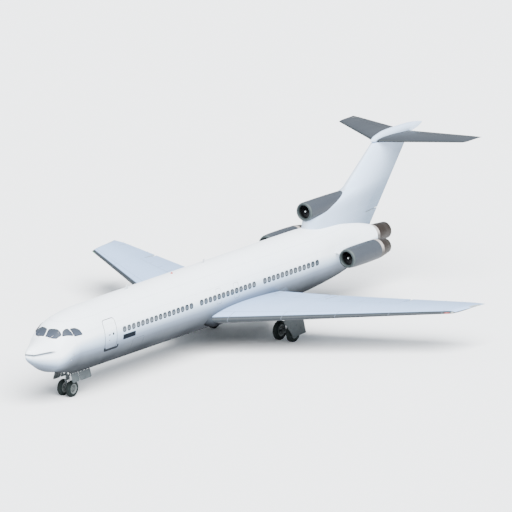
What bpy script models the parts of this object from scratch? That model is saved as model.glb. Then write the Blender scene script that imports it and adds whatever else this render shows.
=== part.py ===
"""A narrow body trijet airliner with a T-tail, parked on its gear, as a half-size model.

Every piece is drawn at the airliner's full size, in metres: x towards the port wing tip, y aft from
the tip of the nose, z up from the ground. The empty that carries them all halves them, and moves
the middle of the airliner's length to the origin.
"""

import math

import bmesh
import bpy
import numpy as np
from mathutils import Matrix, Vector

# Driving dimensions, at full size
SCALE = 0.5
LENGTH = 45.70
JOINT_GAP = 0.0007
MOVING_GAP = 0.012
PIN_GAP = 0.0018

FUSELAGE_HALF_WIDTH = 1.88
FUSELAGE_TOP = 5.915
FUSELAGE_BOTTOM = 1.54
RING_SIDES = 32
RADOME_END = 1.25
FORWARD_END = 15.40
CENTER_END = 28.40
AFT_END = 39.90

# Stations of the fuselage: distance from the nose, half width, top, bottom
FUSELAGE_STATIONS = [
    (0.00, 0.03, 3.67, 3.61),
    (0.12, 0.14, 3.92, 3.29),
    (0.45, 0.40, 4.12, 3.01),
    (1.25, 0.87, 4.34, 2.55),
    (2.10, 1.36, 4.59, 2.12),
    (2.55, 1.53, 5.02, 1.94),
    (3.20, 1.70, 5.42, 1.74),
    (4.20, 1.82, 5.72, 1.60),
    (6.20, 1.88, 5.915, 1.54),
    (28.50, 1.88, 5.915, 1.54),
    (31.00, 1.87, 5.905, 1.66),
    (34.70, 1.64, 5.74, 2.02),
    (37.50, 1.20, 5.24, 2.62),
    (39.90, 0.66, 4.55, 3.23),
]

CENTER_ENGINE_RADIUS = 0.66


def smooth(knots, values, at):
    """Monotone cubic through the knots: slopes are harmonic means, and zero at turning points."""
    knots, values, at = (np.asarray(a, float) for a in (knots, values, at))
    steps = np.diff(knots)
    rise = np.diff(values) / steps
    slopes = np.zeros_like(knots)
    same_way = rise[:-1] * rise[1:] > 0
    before, after = steps[:-1], steps[1:]
    with np.errstate(divide="ignore", invalid="ignore"):
        mean = 3 * (before + after) / ((2 * after + before) / rise[:-1] + (after + 2 * before) / rise[1:])
    slopes[1:-1] = np.where(same_way, mean, 0)
    slopes[0], slopes[-1] = rise[0], rise[-1]
    i = np.clip(np.searchsorted(knots, at) - 1, 0, len(steps) - 1)
    t = (at - knots[i]) / steps[i]
    return (
        values[i] * (1 + 2 * t) * (1 - t) ** 2
        + steps[i] * slopes[i] * t * (1 - t) ** 2
        + values[i + 1] * t**2 * (3 - 2 * t)
        + steps[i] * slopes[i + 1] * t**2 * (t - 1)
    )


# The scene, its collections and the empty that carries the model

for old in list(bpy.data.objects):
    bpy.data.objects.remove(old)

airliner = bpy.data.collections.new("Airliner")
cutters = bpy.data.collections.new("Cutters")
bpy.context.scene.collection.children.link(airliner)
bpy.context.scene.collection.children.link(cutters)

carrier = bpy.data.objects.new("half_size_carrier", None)
carrier.scale = (SCALE, SCALE, SCALE)
carrier.location = (0, -LENGTH / 2 * SCALE, 0)
airliner.objects.link(carrier)


def material(name, color, roughness, metallic=0.0):
    made = bpy.data.materials.new(name)
    made.use_nodes = True
    shader = made.node_tree.nodes["Principled BSDF"]
    shader.inputs["Base Color"].default_value = (*color, 1)
    shader.inputs["Roughness"].default_value = roughness
    shader.inputs["Metallic"].default_value = metallic
    return made


WHITE = material("white_paint", (0.86, 0.89, 0.93), 0.35)
WING_GREY = material("wing_paint", (0.72, 0.76, 0.82), 0.4)
TAIL_GREY = material("tail_grey_paint", (0.42, 0.44, 0.48), 0.45)
NACELLE_GREY = material("nacelle_grey_paint", (0.40, 0.42, 0.46), 0.45)
HOT_METAL = material("hot_section_metal", (0.36, 0.32, 0.29), 0.4, 0.9)
DARK_METAL = material("dark_metal", (0.10, 0.11, 0.12), 0.5, 0.7)
GLASS = material("tinted_glass", (0.30, 0.33, 0.38), 0.12)
GEAR_GREY = material("gear_grey_paint", (0.36, 0.40, 0.41), 0.5)
TYRE = material("tyre_rubber", (0.035, 0.045, 0.045), 0.8)
RIM = material("rim_metal", (0.62, 0.64, 0.65), 0.4, 0.8)


# Modelling helpers


def place(name, mesh, finish=None, helper=False):
    """An object in the airliner's frame. A helper is a cutter or a shape that another piece takes in."""
    obj = bpy.data.objects.new(name, mesh)
    (cutters if helper else airliner).objects.link(obj)
    obj.parent = carrier
    if finish:
        mesh.materials.append(finish)
    if helper:
        obj.hide_render = True
        obj.display_type = "WIRE"
    return obj


def from_bmesh(name, shape, finish=None, helper=False, angle=35):
    """An object from a closed bmesh, with its faces turned outwards."""
    bmesh.ops.recalc_face_normals(shape, faces=shape.faces)
    if shape.calc_volume(signed=True) < 0:
        bmesh.ops.reverse_faces(shape, faces=shape.faces)
    mesh = bpy.data.meshes.new(name)
    shape.to_mesh(mesh)
    shape.free()
    mesh.shade_smooth()
    mesh.set_sharp_from_angle(angle=math.radians(angle))
    return place(name, mesh, finish, helper)


def loft(name, rings, finish=None, helper=False):
    """A closed solid through rings of equally many points, each end closed by one face."""
    shape = bmesh.new()
    rows = [[shape.verts.new(point) for point in ring] for ring in rings]
    for row, following in zip(rows, rows[1:]):
        for i in range(len(row)):
            j = (i + 1) % len(row)
            shape.faces.new((row[i], row[j], following[j], following[i]))
    shape.faces.new(rows[0])
    shape.faces.new(rows[-1])
    bmesh.ops.triangulate(shape, faces=shape.faces, quad_method="FIXED", ngon_method="EAR_CLIP")
    return from_bmesh(name, shape, finish, helper)


def box(name, low, high, finish=None, helper=False):
    shape = bmesh.new()
    bmesh.ops.create_cube(shape, size=1)
    low, high = Vector(low), Vector(high)
    bmesh.ops.scale(shape, vec=high - low, verts=shape.verts)
    bmesh.ops.translate(shape, vec=(low + high) / 2, verts=shape.verts)
    return from_bmesh(name, shape, finish, helper)


def rod(name, start, end, radius, end_radius=None, sides=16, finish=None, helper=False):
    """A cylinder, or a cone with end_radius, from start to end."""
    start, end = Vector(start), Vector(end)
    shape = bmesh.new()
    bmesh.ops.create_cone(
        shape,
        cap_ends=True,
        segments=sides,
        radius1=radius,
        radius2=radius if end_radius is None else end_radius,
        depth=(end - start).length,
    )
    turn = (end - start).to_track_quat("Z", "Y").to_matrix().to_4x4()
    shape.transform(Matrix.Translation((start + end) / 2) @ turn)
    return from_bmesh(name, shape, finish, helper)


def turned(name, profile, center, axis, sides=32, finish=None, helper=False):
    """A closed outline of (radius, distance along the axis) points, turned round the axis."""
    shape = bmesh.new()
    rings = []
    for k in range(sides):
        angle = 2 * math.pi * k / sides
        ring = []
        for radius, along in profile:
            ring.append(shape.verts.new((radius * math.cos(angle), radius * math.sin(angle), along)))
        rings.append(ring)
    for k in range(sides):
        ring, following = rings[k], rings[(k + 1) % sides]
        for i in range(len(profile)):
            j = (i + 1) % len(profile)
            shape.faces.new((ring[i], ring[j], following[j], following[i]))
    bmesh.ops.remove_doubles(shape, verts=shape.verts, dist=1e-5)
    bmesh.ops.delete(shape, geom=[edge for edge in shape.edges if not edge.link_faces], context="EDGES")
    turn = Vector(axis).to_track_quat("Z", "Y").to_matrix().to_4x4()
    shape.transform(Matrix.Translation(center) @ turn)
    return from_bmesh(name, shape, finish, helper)


# Pieces on which the exact solver loses faces: thin tapered shells, and two rims on one axle
MANIFOLD_TARGETS = ("wing_", "tailplane", "fin", "main_wheel", "nose_wheel")


def boolean(target, other, operation):
    change = target.modifiers.new(f"{operation.lower()}_{other.name}", "BOOLEAN")
    change.operation = operation
    change.object = other
    change.solver = "MANIFOLD" if target.name.startswith(MANIFOLD_TARGETS) else "EXACT"
    return target


def cut(target, *others):
    for other in others:
        boolean(target, other, "DIFFERENCE")
    return target


def join(target, *others):
    for other in others:
        boolean(target, other, "UNION")
    return target


# Fuselage: oval rings, which taper to the nose and to the centre engine's tail pipe


def fuselage_ring(y, grow=0.0):
    stations = np.array(FUSELAGE_STATIONS)
    half_width, top, bottom = (smooth(stations[:, 0], stations[:, k], y) for k in (1, 2, 3))
    half_height = (top - bottom) / 2
    middle = (top + bottom) / 2
    ring = []
    for k in range(RING_SIDES):
        angle = 2 * math.pi * k / RING_SIDES
        x = (half_width + grow) * math.cos(angle)
        z = middle + (half_height + grow) * math.sin(angle)
        ring.append((x, y, z))
    return ring


def fuselage_part(name, start, end, steps, finish=WHITE, grow=0.0, helper=False):
    """A stretch of the fuselage between two stations; steps lists its rings' places from 0 to 1."""
    rings = [fuselage_ring(start + (end - start) * share, grow) for share in steps]
    return loft(name, rings, finish, helper)


nose_steps = [0, 0.03, 0.1, 0.25, 0.5, 1]
radome = fuselage_part("nose_radome", 0, RADOME_END - JOINT_GAP, nose_steps)

cab_steps = [0, 0.03, 0.06, 0.08, 0.1, 0.13, 0.17, 0.22, 0.28, 0.36, 1]
forward = fuselage_part("fuselage_forward", RADOME_END, FORWARD_END - JOINT_GAP, cab_steps)

center = fuselage_part("fuselage_center", FORWARD_END, CENTER_END - JOINT_GAP, [0, 1])

tail_steps = [0, 0.1, 0.25, 0.4, 0.55, 0.7, 0.85, 1]
aft = fuselage_part("fuselage_aft", CENTER_END, AFT_END - JOINT_GAP, tail_steps)
aft_grown = fuselage_part(
    "aft_skin_clearance", CENTER_END, AFT_END - JOINT_GAP, tail_steps, None, JOINT_GAP, True
)

# Belly fairing: a flat sided trough under the centre fuselage that the wings bolt to

BELLY_HALF_WIDTH = 2.00
BELLY_BOTTOM = 1.44
BELLY_TOP = 3.05
BELLY_START = 17.6
BELLY_END = 28.3


def belly_ring(y, half_width, bottom, top):
    """A rounded U: vertical sides from top down to the corner arcs, and a flat floor."""
    corner = min(0.55, half_width * 0.5)
    points = [(half_width, y, top)]
    for k in range(7):
        angle = math.pi / 2 * k / 6
        x = half_width - corner + corner * math.cos(angle)
        z = bottom + corner - corner * math.sin(angle)
        points.append((x, y, z))
    return points + [(-x, y, z) for x, y, z in reversed(points)]


belly = loft(
    "belly_fairing_shape",
    [
        belly_ring(BELLY_START, 1.35, 2.08, 2.75),
        belly_ring(18.5, BELLY_HALF_WIDTH, 1.85, 2.95),
        belly_ring(20.0, BELLY_HALF_WIDTH, 1.80, BELLY_TOP),
        belly_ring(21.9, BELLY_HALF_WIDTH, BELLY_BOTTOM, BELLY_TOP),
        belly_ring(27.2, BELLY_HALF_WIDTH, BELLY_BOTTOM, BELLY_TOP),
        belly_ring(BELLY_END, 1.45, 1.65, 2.5),
    ],
    helper=True,
)
join(center, belly)

# Cockpit windows: one band of panes and posts, let into the nose

WINDOW_DEPTH = 0.10
window_side = [
    (2.14, 4.56),
    (2.52, 5.02),
    (3.40, 5.10),
    (4.35, 4.95),
    (4.62, 4.72),
    (4.40, 4.52),
    (3.20, 4.45),
]


def side_prism(name, outline, half_width, helper=True):
    """An outline drawn in side view (y, z), made solid across the whole width."""
    return loft(name, [[(x, y, z) for y, z in outline] for x in (-half_width, half_width)], helper=helper)


def grown_outline(outline, by):
    """The outline pushed outwards from its middle."""
    middle = np.mean(outline, axis=0)
    away = np.array(outline) - middle
    return [tuple(p) for p in middle + away * (1 + by / np.linalg.norm(away, axis=1))[:, None]]


band = side_prism("window_band_outline", window_side, 2.2)
band_pocket = side_prism("window_band_pocket", grown_outline(window_side, JOINT_GAP), 2.3)
CAB_CORE = (1.5, 7.0, [0, 0.1, 0.18, 0.25, 0.35, 0.45, 0.6, 0.8, 1])
cab_core = fuselage_part("cab_core", *CAB_CORE, None, -WINDOW_DEPTH, True)
cab_core_grown = fuselage_part("cab_core_face", *CAB_CORE, None, -WINDOW_DEPTH - JOINT_GAP, True)
windows = fuselage_part("cockpit_windows", RADOME_END, FORWARD_END - JOINT_GAP, cab_steps, GLASS)
boolean(windows, band, "INTERSECT")
cut(windows, cab_core)
cut(band_pocket, cab_core_grown)
cut(forward, band_pocket)

# Forward doors: slabs as thick as the whole door, set in their own cut outs

DOOR_START, DOOR_END = 6.36, 7.60
DOOR_BOTTOM, DOOR_TOP = 3.06, 4.96
DOOR_THICKNESS = 0.16


def door_outline(by=0.0):
    """A tall rectangle with round corners, in side view."""
    radius = 0.16
    points = []
    corners = [
        (DOOR_END - radius, DOOR_TOP - radius, 0),
        (DOOR_START + radius, DOOR_TOP - radius, 90),
        (DOOR_START + radius, DOOR_BOTTOM + radius, 180),
        (DOOR_END - radius, DOOR_BOTTOM + radius, 270),
    ]
    for y, z, turn in corners:
        for k in range(4):
            angle = math.radians(turn + 30 * k)
            points.append((y + (radius + by) * math.cos(angle), z + (radius + by) * math.sin(angle)))
    return points


def one_sided(outline, side):
    """The outline made solid on one side of the fuselage only."""
    return [[(side * x, y, z) for y, z in outline] for x in (0.6, 2.4)]


DOOR_CORE = (5.6, 9.0, [0, 0.3, 1])
door_core = fuselage_part("door_core", *DOOR_CORE, None, -DOOR_THICKNESS, True)
door_core_grown = fuselage_part("door_core_face", *DOOR_CORE, None, -DOOR_THICKNESS - JOINT_GAP, True)
for side, name in ((1, "passenger_door"), (-1, "service_door")):
    door = fuselage_part(name, RADOME_END, FORWARD_END - JOINT_GAP, cab_steps)
    slab = loft(f"{name}_outline", one_sided(door_outline(), side), helper=True)
    boolean(door, slab, "INTERSECT")
    cut(door, door_core)
    pocket = loft(f"{name}_pocket", one_sided(door_outline(JOINT_GAP), side), helper=True)
    cut(pocket, door_core_grown)
    cut(forward, pocket)

# Nose gear bay: the well above the nose leg, between its two doors

NOSE_GEAR_Y = 4.73
BAY_HALF_WIDTH = 0.67
BAY_START, BAY_END = 4.12, 6.42
BAY_ROOF = 2.35
bay_low, bay_high = (-BAY_HALF_WIDTH, BAY_START, 1.0), (BAY_HALF_WIDTH, BAY_END, BAY_ROOF)
bay = box("nose_gear_bay", bay_low, bay_high, helper=True)
cut(forward, bay)

# Wings: a symmetrical section on a chord line from leading to trailing edge

WING_ROOT_X = BELLY_HALF_WIDTH + JOINT_GAP
WING_KINK_X = 5.78
WING_TIP_X = 14.77
# Each line gives its value at distances from the plane of symmetry
LEADING_EDGE = [(1.87, 18.80), (WING_TIP_X, 28.06)]
TRAILING_EDGE = [(1.87, 26.50), (WING_KINK_X, 27.53), (15.24, 31.50)]
LEADING_EDGE_Z = [(1.87, 2.48), (WING_TIP_X, 3.00)]
TRAILING_EDGE_Z = [(1.87, 2.93), (WING_KINK_X, 3.00), (WING_TIP_X, 3.03)]
WING_THICKNESS = [(1.87, 0.120), (WING_KINK_X, 0.112), (WING_TIP_X, 0.090)]
TIP_RAKE = 0.47


def along(line, x):
    """The value of a broken line at x."""
    return float(np.interp(x, [p[0] for p in line], [p[1] for p in line]))


def extended(line, x):
    """The value at x of a line's last stretch, carried on past its end."""
    (x0, v0), (x1, v1) = line[-2:]
    return v0 + (v1 - v0) * (x - x0) / (x1 - x0) if x > x0 else along(line, x)


def half_thickness(share):
    """Half the thickness of a symmetrical section of unit thickness, at a share of its chord."""
    rise = 0.2969 * math.sqrt(share) - 0.1260 * share
    return 5 * (rise - 0.3516 * share**2 + 0.2843 * share**3 - 0.1036 * share**4)


PIN_RADIUS = 0.030
PIN_REACH = 0.08


def hinge_pin(surface, carrier_piece, start, end, end_gap):
    """A pin along the hinge line, fixed in the moving surface, in bores in what carries it."""
    start, end = Vector(start), Vector(end)
    past = (end - start).normalized() * (end_gap + PIN_REACH)
    pin = rod(f"{surface.name}_pin", start - past, end + past, PIN_RADIUS, helper=True)
    past = past * 1.01
    bore = rod(f"{surface.name}_bore", start - past, end + past, PIN_RADIUS + PIN_GAP, helper=True)
    join(surface, pin)
    cut(carrier_piece, bore)


SECTION_SHARES = [0, 0.006, 0.025, 0.07, 0.15, 0.3, 0.5, 0.7, 0.85, 1.0]
EDGE_HALF = 0.012
# The round nose of a control surface: its share of the wing's half thickness, and its arc
NOSE_SHARE = 0.985
NOSE_ANGLES = [math.pi / 2 + math.pi * k / 14 for k in range(15)]
# How far a cutter runs past the surface that it opens
PAST = 0.6


class Panel:
    """A flying surface between a leading and a trailing edge, for a span coordinate s."""

    def __init__(self, lead, trail, lead_z, trail_z, thickness, put):
        self.lead, self.trail = lead, trail
        self.lead_z, self.trail_z = lead_z, trail_z
        self.thickness, self.put = thickness, put

    def chord(self, s):
        return extended(self.trail, s) - extended(self.lead, s)

    def middle(self, s, share):
        """A point on the chord line: (distance aft, height)."""
        y = extended(self.lead, s) + self.chord(s) * share
        z = extended(self.lead_z, s) + (extended(self.trail_z, s) - extended(self.lead_z, s)) * share
        return y, z

    def point(self, s, share):
        return self.put(s, *self.middle(s, share))

    def half(self, s, share):
        return half_thickness(share) * extended(self.thickness, s) * self.chord(s)

    def ring(self, s, rake=0.0, grow=0.0):
        """The section at s, from the trailing edge over the top to the nose and back below."""
        points = []
        for sign, shares in ((1, reversed(SECTION_SHARES)), (-1, SECTION_SHARES[1:])):
            for share in shares:
                y, z = self.middle(s, share)
                half = max(self.half(s, share), EDGE_HALF if share == 1.0 else 0.0) + grow
                points.append(self.put(s + rake * share, y + grow * (4 * share - 2), z + sign * half))
        return points

    def sweep(self, share, inner, outer):
        """The cosine of the sweep of the line at that share of the chord."""
        dy = self.middle(outer, share)[0] - self.middle(inner, share)[0]
        return math.cos(math.atan2(dy, outer - inner))

    def drift(self, share, inner, outer, swing):
        """How far outboard a swept hinge carries the outer end's tail as the surface turns."""
        across = self.sweep(share, inner, outer)
        tail_length = self.chord(outer) * (1 - share)
        return tail_length * across * math.sqrt(1 - across**2) * (1 - math.cos(swing))

    def control(self, name, share, inner, outer, finish=None, swing=0.0):
        """A surface with a round nose about its hinge line and flat sides back to the edge.

        Its outer end leans inboard towards the tail, by the drift at the full swing.
        """
        secant = 1 / self.sweep(share, inner, outer)
        rings = []
        for s, lean in ((inner, 0.0), (outer, self.drift(share, inner, outer, swing))):
            y, z = self.middle(s, share)
            y_end, z_end = self.middle(s - lean, 1.0)
            radius = self.half(s, share) * NOSE_SHARE
            points = [self.put(s - lean, y_end, z_end + EDGE_HALF)]
            for angle in NOSE_ANGLES:
                ahead, up = radius * secant * math.cos(angle), radius * math.sin(angle)
                points.append(self.put(s, y + ahead, z + up))
            points.append(self.put(s - lean, y_end, z_end - EDGE_HALF))
            rings.append(points)
        return loft(name, rings, finish)

    def room(self, name, share, inner, outer, lip=0.0):
        """The room that a control surface needs, as a cutter for what carries it.

        The lip under the round nose ends at that angle before the lowest point of the arc, so that
        the flat underside of a flap clears it when the flap is down.
        """
        secant = 1 / self.sweep(share, inner, outer)
        rings = []
        for s in (inner, outer):
            y, z = self.middle(s, share)
            y_end, z_end = self.middle(s, 1.0)
            radius = self.half(s, share) * NOSE_SHARE + MOVING_GAP
            points = [self.put(s, y_end + PAST, z_end + PAST), self.put(s, y, z + PAST)]
            for angle in NOSE_ANGLES:
                if angle > 1.5 * math.pi - lip + 0.03:
                    break
                ahead, up = radius * secant * math.cos(angle), radius * math.sin(angle)
                points.append(self.put(s, y + ahead, z + up))
            points += [self.put(s, y + ahead, z - PAST), self.put(s, y_end + PAST, z_end - PAST)]
            rings.append(points)
        return loft(name, rings, helper=True)


def wing_panel(side):
    return Panel(
        LEADING_EDGE,
        TRAILING_EDGE,
        LEADING_EDGE_Z,
        TRAILING_EDGE_Z,
        WING_THICKNESS,
        lambda s, y, z: (side * s, y, z),
    )


AILERON_HINGE = 0.76
AILERON_SPAN = (10.75, 13.95)
FLAP_INBOARD = (2.16, 5.40)
FLAP_INBOARD_HINGE = 0.86
FLAP_OUTBOARD = (5.95, 10.55)
FLAP_OUTBOARD_HINGE = 0.74
FLAP_END_GAP = 0.06
AILERON_END_GAP = 0.035
AILERON_SWING = math.radians(20)
FLAP_SWING = math.radians(40)

for side, word in ((1, "left"), (-1, "right")):
    panel = wing_panel(side)
    rings = [panel.ring(s) for s in (WING_ROOT_X, WING_KINK_X, WING_TIP_X - 0.6)]
    wing = loft(f"wing_{word}", rings + [panel.ring(WING_TIP_X, TIP_RAKE)], WING_GREY)
    surfaces = [
        ("aileron", AILERON_HINGE, AILERON_SPAN, AILERON_END_GAP, AILERON_SWING),
        ("flap_inboard", FLAP_INBOARD_HINGE, FLAP_INBOARD, FLAP_END_GAP, FLAP_SWING),
        ("flap_outboard", FLAP_OUTBOARD_HINGE, FLAP_OUTBOARD, FLAP_END_GAP, FLAP_SWING),
    ]
    for name, share, (inner, outer), end_gap, swing in surfaces:
        surface = panel.control(f"{name}_{word}", share, inner, outer, WING_GREY, swing)
        lip = swing if name.startswith("flap") else 0.0
        cut(wing, panel.room(f"{name}_{word}_room", share, inner - end_gap, outer + end_gap, lip))
        hinge_pin(surface, wing, panel.point(inner, share), panel.point(outer, share), end_gap)


# Fin: blunt round the centre duct, thin at the top, with the tailplane's fairing on its head

FIN_TOP = 10.20
# Height, leading edge, trailing edge, half thickness, length of the round nose
FIN_LEVELS = [
    (4.30, 31.65, 39.26, 0.60, 1.3),
    (6.45, 31.95, 41.07, 0.60, 1.3),
    (7.04, 33.05, 41.56, 0.60, 1.5),
    (7.68, 36.37, 42.10, 0.40, 1.6),
    (FIN_TOP, 39.76, 44.21, 0.25, 1.2),
]


def fin_ring(level, lead, trail, half, nose):
    """A round nose, an elliptic quarter long, then sides that fall away to the trailing edge."""
    side = []
    for k in range(7):
        share = 1 - math.cos(math.pi / 2 * k / 6)
        side.append((half * math.sin(math.pi / 2 * k / 6), lead + nose * share))
    flat = trail - lead - nose
    for share in (0.3, 0.6, 1.0):
        side.append((max(0.015, half * (1 - share**1.7)), lead + nose + flat * share))
    loop = side + [(-x, y) for x, y in reversed(side[1:])]
    return [(x, y, level) for x, y in loop]


fin = loft("fin", [fin_ring(*row) for row in FIN_LEVELS], WHITE)

RUDDER_BOTTOM, RUDDER_TOP = 5.75, 9.75
RUDDER_SHARE = 0.70


def fin_line(column, level):
    rows = np.array(FIN_LEVELS)
    return float(np.interp(level, rows[:, 0], rows[:, column]))


def rudder_hinge(level):
    lead, trail = 36.4 + (level - 7.68) * 1.345, fin_line(2, level)
    return trail - 0.30 * (trail - lead) * 0.8


def fin_half_thickness(level, y):
    lead, trail, half, nose = (fin_line(c, level) for c in (1, 2, 3, 4))
    share = (y - lead - nose) / (trail - lead - nose)
    return half * (1 - share**1.7)


def rudder(name, bottom, top, finish=None, slack=0.0, helper=False):
    secant = 1 / math.cos(math.atan2(rudder_hinge(top) - rudder_hinge(bottom), top - bottom))
    rings = []
    for level in (bottom, top):
        y, trail = rudder_hinge(level), fin_line(2, level)
        radius = fin_half_thickness(level, y) * 0.97 + slack
        tail, reach = (PAST, PAST) if slack else (0.015, 0.0)
        points = [(tail, trail + reach, level)]
        if slack:
            points.append((PAST, y, level))
        for angle in NOSE_ANGLES:
            points.append((radius * math.sin(angle), y + radius * secant * math.cos(angle), level))
        if slack:
            points.append((-PAST, y, level))
        points.append((-tail, trail + reach, level))
        rings.append(points)
    return loft(name, rings, finish, helper)


RUDDER_END_GAP = 0.09
rudder_piece = rudder("rudder", RUDDER_BOTTOM, RUDDER_TOP, WHITE)
rudder_room = rudder(
    "rudder_room", RUDDER_BOTTOM - RUDDER_END_GAP, RUDDER_TOP + RUDDER_END_GAP, None, MOVING_GAP, True
)
cut(fin, rudder_room)
hinge_pin(
    rudder_piece,
    fin,
    (0, rudder_hinge(RUDDER_BOTTOM), RUDDER_BOTTOM),
    (0, rudder_hinge(RUDDER_TOP), RUDDER_TOP),
    RUDDER_END_GAP,
)

# The fin stands in the aft fuselage: its foot is cut away there
cut(fin, aft_grown)

# Tailplane and its fairing

TAIL_Z = 10.32
TAIL_TIP_X = 5.13
TAIL_TIP_RAKE = 0.17
TAIL_LEAD = [(0.0, 40.05), (TAIL_TIP_X, 43.26)]
TAIL_TRAIL = [(0.0, 43.84), (TAIL_TIP_X + TAIL_TIP_RAKE, 45.22)]
TAIL_LINE_Z = [(0.0, TAIL_Z), (TAIL_TIP_X, TAIL_Z)]
TAIL_THICKNESS = [(0.0, 0.10), (TAIL_TIP_X, 0.09)]
ELEVATOR_SHARE = 0.70
ELEVATOR_SPAN = (0.55, 4.85)


def tail_panel(side):
    return Panel(
        TAIL_LEAD,
        TAIL_TRAIL,
        TAIL_LINE_Z,
        TAIL_LINE_Z,
        TAIL_THICKNESS,
        lambda s, y, z: (side * s, y, z),
    )


tail, tail_right = tail_panel(1), tail_panel(-1)
tail_rings = [
    tail_right.ring(TAIL_TIP_X, TAIL_TIP_RAKE),
    tail_right.ring(4.9),
    tail.ring(0.0),
    tail.ring(4.9),
    tail.ring(TAIL_TIP_X, TAIL_TIP_RAKE),
]
tailplane = loft("tailplane", tail_rings, TAIL_GREY)
ELEVATOR_END_GAP = 0.04
ELEVATOR_SWING = math.radians(25)
for side, word in ((1, "left"), (-1, "right")):
    panel = tail_panel(side)
    inner, outer = ELEVATOR_SPAN
    elevator = panel.control(f"elevator_{word}", ELEVATOR_SHARE, inner, outer, TAIL_GREY, ELEVATOR_SWING)
    room_ends = (inner - ELEVATOR_END_GAP, outer + ELEVATOR_END_GAP)
    cut(tailplane, panel.room(f"elevator_{word}_room", ELEVATOR_SHARE, *room_ends))
    ends = (panel.point(inner, ELEVATOR_SHARE), panel.point(outer, ELEVATOR_SHARE))
    hinge_pin(elevator, tailplane, *ends, ELEVATOR_END_GAP)

# Fairing stations: distance aft, half width, middle height, half height
FAIRING_STATIONS = [
    (39.70, 0.03, 10.36, 0.03),
    (40.10, 0.17, 10.42, 0.20),
    (41.60, 0.30, 10.46, 0.38),
    (43.80, 0.27, 10.48, 0.35),
    (45.10, 0.14, 10.50, 0.20),
    (45.70, 0.03, 10.54, 0.04),
]


def fairing_ring(y, half_width, middle, half_height, sides=16):
    ring = []
    for k in range(sides):
        angle = 2 * math.pi * k / sides
        ring.append((half_width * math.cos(angle), y, middle + half_height * math.sin(angle)))
    return ring


fairing = loft("tailplane_fairing", [fairing_ring(*row) for row in FAIRING_STATIONS], WHITE)

# The fin's head carries the tailplane, and the fairing closes over both
tail_root = loft(
    "tail_root_clearance",
    [side.ring(s, grow=JOINT_GAP) for side, s in ((tail_right, 0.45), (tail, 0.0), (tail, 0.45))],
    helper=True,
)


def fin_clearance_ring(level, lead, trail, half, nose):
    """A ring of the fin's upper part, grown by the gap of a joint."""
    raised = level + (JOINT_GAP if level == FIN_TOP else 0)
    return fin_ring(raised, lead - 2 * JOINT_GAP, trail + 2 * JOINT_GAP, half + JOINT_GAP, nose)


fin_head = loft("fin_head_clearance", [fin_clearance_ring(*row) for row in FIN_LEVELS[-2:]], helper=True)
cut(fin, tail_root)
cut(fairing, tail_root, fin_head)

# Engines: a fan at the front of each, a plain block for the machinery, and a nozzle behind

FAN_RADIUS = 0.435
FAN_BLADES = 16
FAN_HUB = 0.15
ENGINE_RADIUS = 0.501


def fan(name, center, shaft):
    """A hub with a pointed spinner, twisted blades drawn out of it, and a stub of shaft behind.

    The center is the middle of the blades, and the air goes aft, along +y.
    """
    shape = bmesh.new()
    sides = 2 * FAN_BLADES
    half = 0.055
    # Distance along the air's way and radius of each ring, from the spinner's tip to the shaft's end
    outline = [
        (-0.235, 0.03),
        (-0.19, 0.07),
        (-0.12, 0.115),
        (-half, FAN_HUB),
        (half, FAN_HUB),
        (half, 0.08),
        (shaft, 0.08),
    ]
    rings = []
    for y, radius in outline:
        ring = []
        for k in range(sides):
            angle = 2 * math.pi * k / sides
            ring.append(shape.verts.new((radius * math.cos(angle), y, radius * math.sin(angle))))
        rings.append(ring)
    for r, (ring, following) in enumerate(zip(rings, rings[1:])):
        for k in range(sides):
            j = (k + 1) % sides
            corners = (ring[k], ring[j], following[j], following[k])
            if r == 3 and k % 2 == 0:
                blade = []
                middle = 2 * math.pi * (k + 0.5) / sides
                turn = Matrix.Rotation(math.radians(38), 3, Vector((math.cos(middle), 0, math.sin(middle))))
                for vert in corners:
                    offset = vert.co - Vector((math.cos(middle), 0, math.sin(middle))) * FAN_HUB
                    offset.y *= 1.25
                    out = Vector((math.cos(middle), 0, math.sin(middle))) * FAN_RADIUS + turn @ offset
                    blade.append(shape.verts.new(out))
                for a in range(4):
                    b = (a + 1) % 4
                    shape.faces.new((corners[a], corners[b], blade[b], blade[a]))
                shape.faces.new(blade)
            else:
                shape.faces.new(corners)
    shape.faces.new(rings[0])
    shape.faces.new(rings[-1])
    bmesh.ops.translate(shape, vec=center, verts=shape.verts)
    return from_bmesh(name, shape, HOT_METAL, angle=25)


def pod_outline(points, bore):
    """Outline of a tube: the outer (radius, y) points, then the bore's points back to the mouth."""
    return points + list(reversed(bore))


SIDE_ENGINE_X, SIDE_ENGINE_Z = 3.30, 4.22
POD_MOUTH, POD_END = 32.14, 35.66
POD_LENGTH = POD_END - POD_MOUTH
# Radius and distance behind the mouth, along the outer skin
POD_SKIN = [
    (0.515, 0.0),
    (0.575, 0.015),
    (0.635, 0.07),
    (0.672, 0.25),
    (0.700, 0.90),
    (0.702, 2.00),
    (0.672, POD_LENGTH),
]
# The same along the intake's throat, which narrows behind the lip and widens to the fan
THROAT = [(0.475, 0.04), (0.455, 0.16), (0.465, 0.34), (0.502, 0.72)]
POD_OUTLINE = pod_outline(POD_SKIN, THROAT + [(0.502, POD_LENGTH)])
NOZZLE_OUTLINE = pod_outline(
    [(0.670, 0.0), (0.655, 0.12), (0.560, 0.70), (0.500, 1.04)],
    [(0.500, 0.0), (0.500, 0.15), (0.485, 0.70), (0.470, 1.04)],
)
FAN_BACK = 0.42
POD_SIDES = 24

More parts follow.
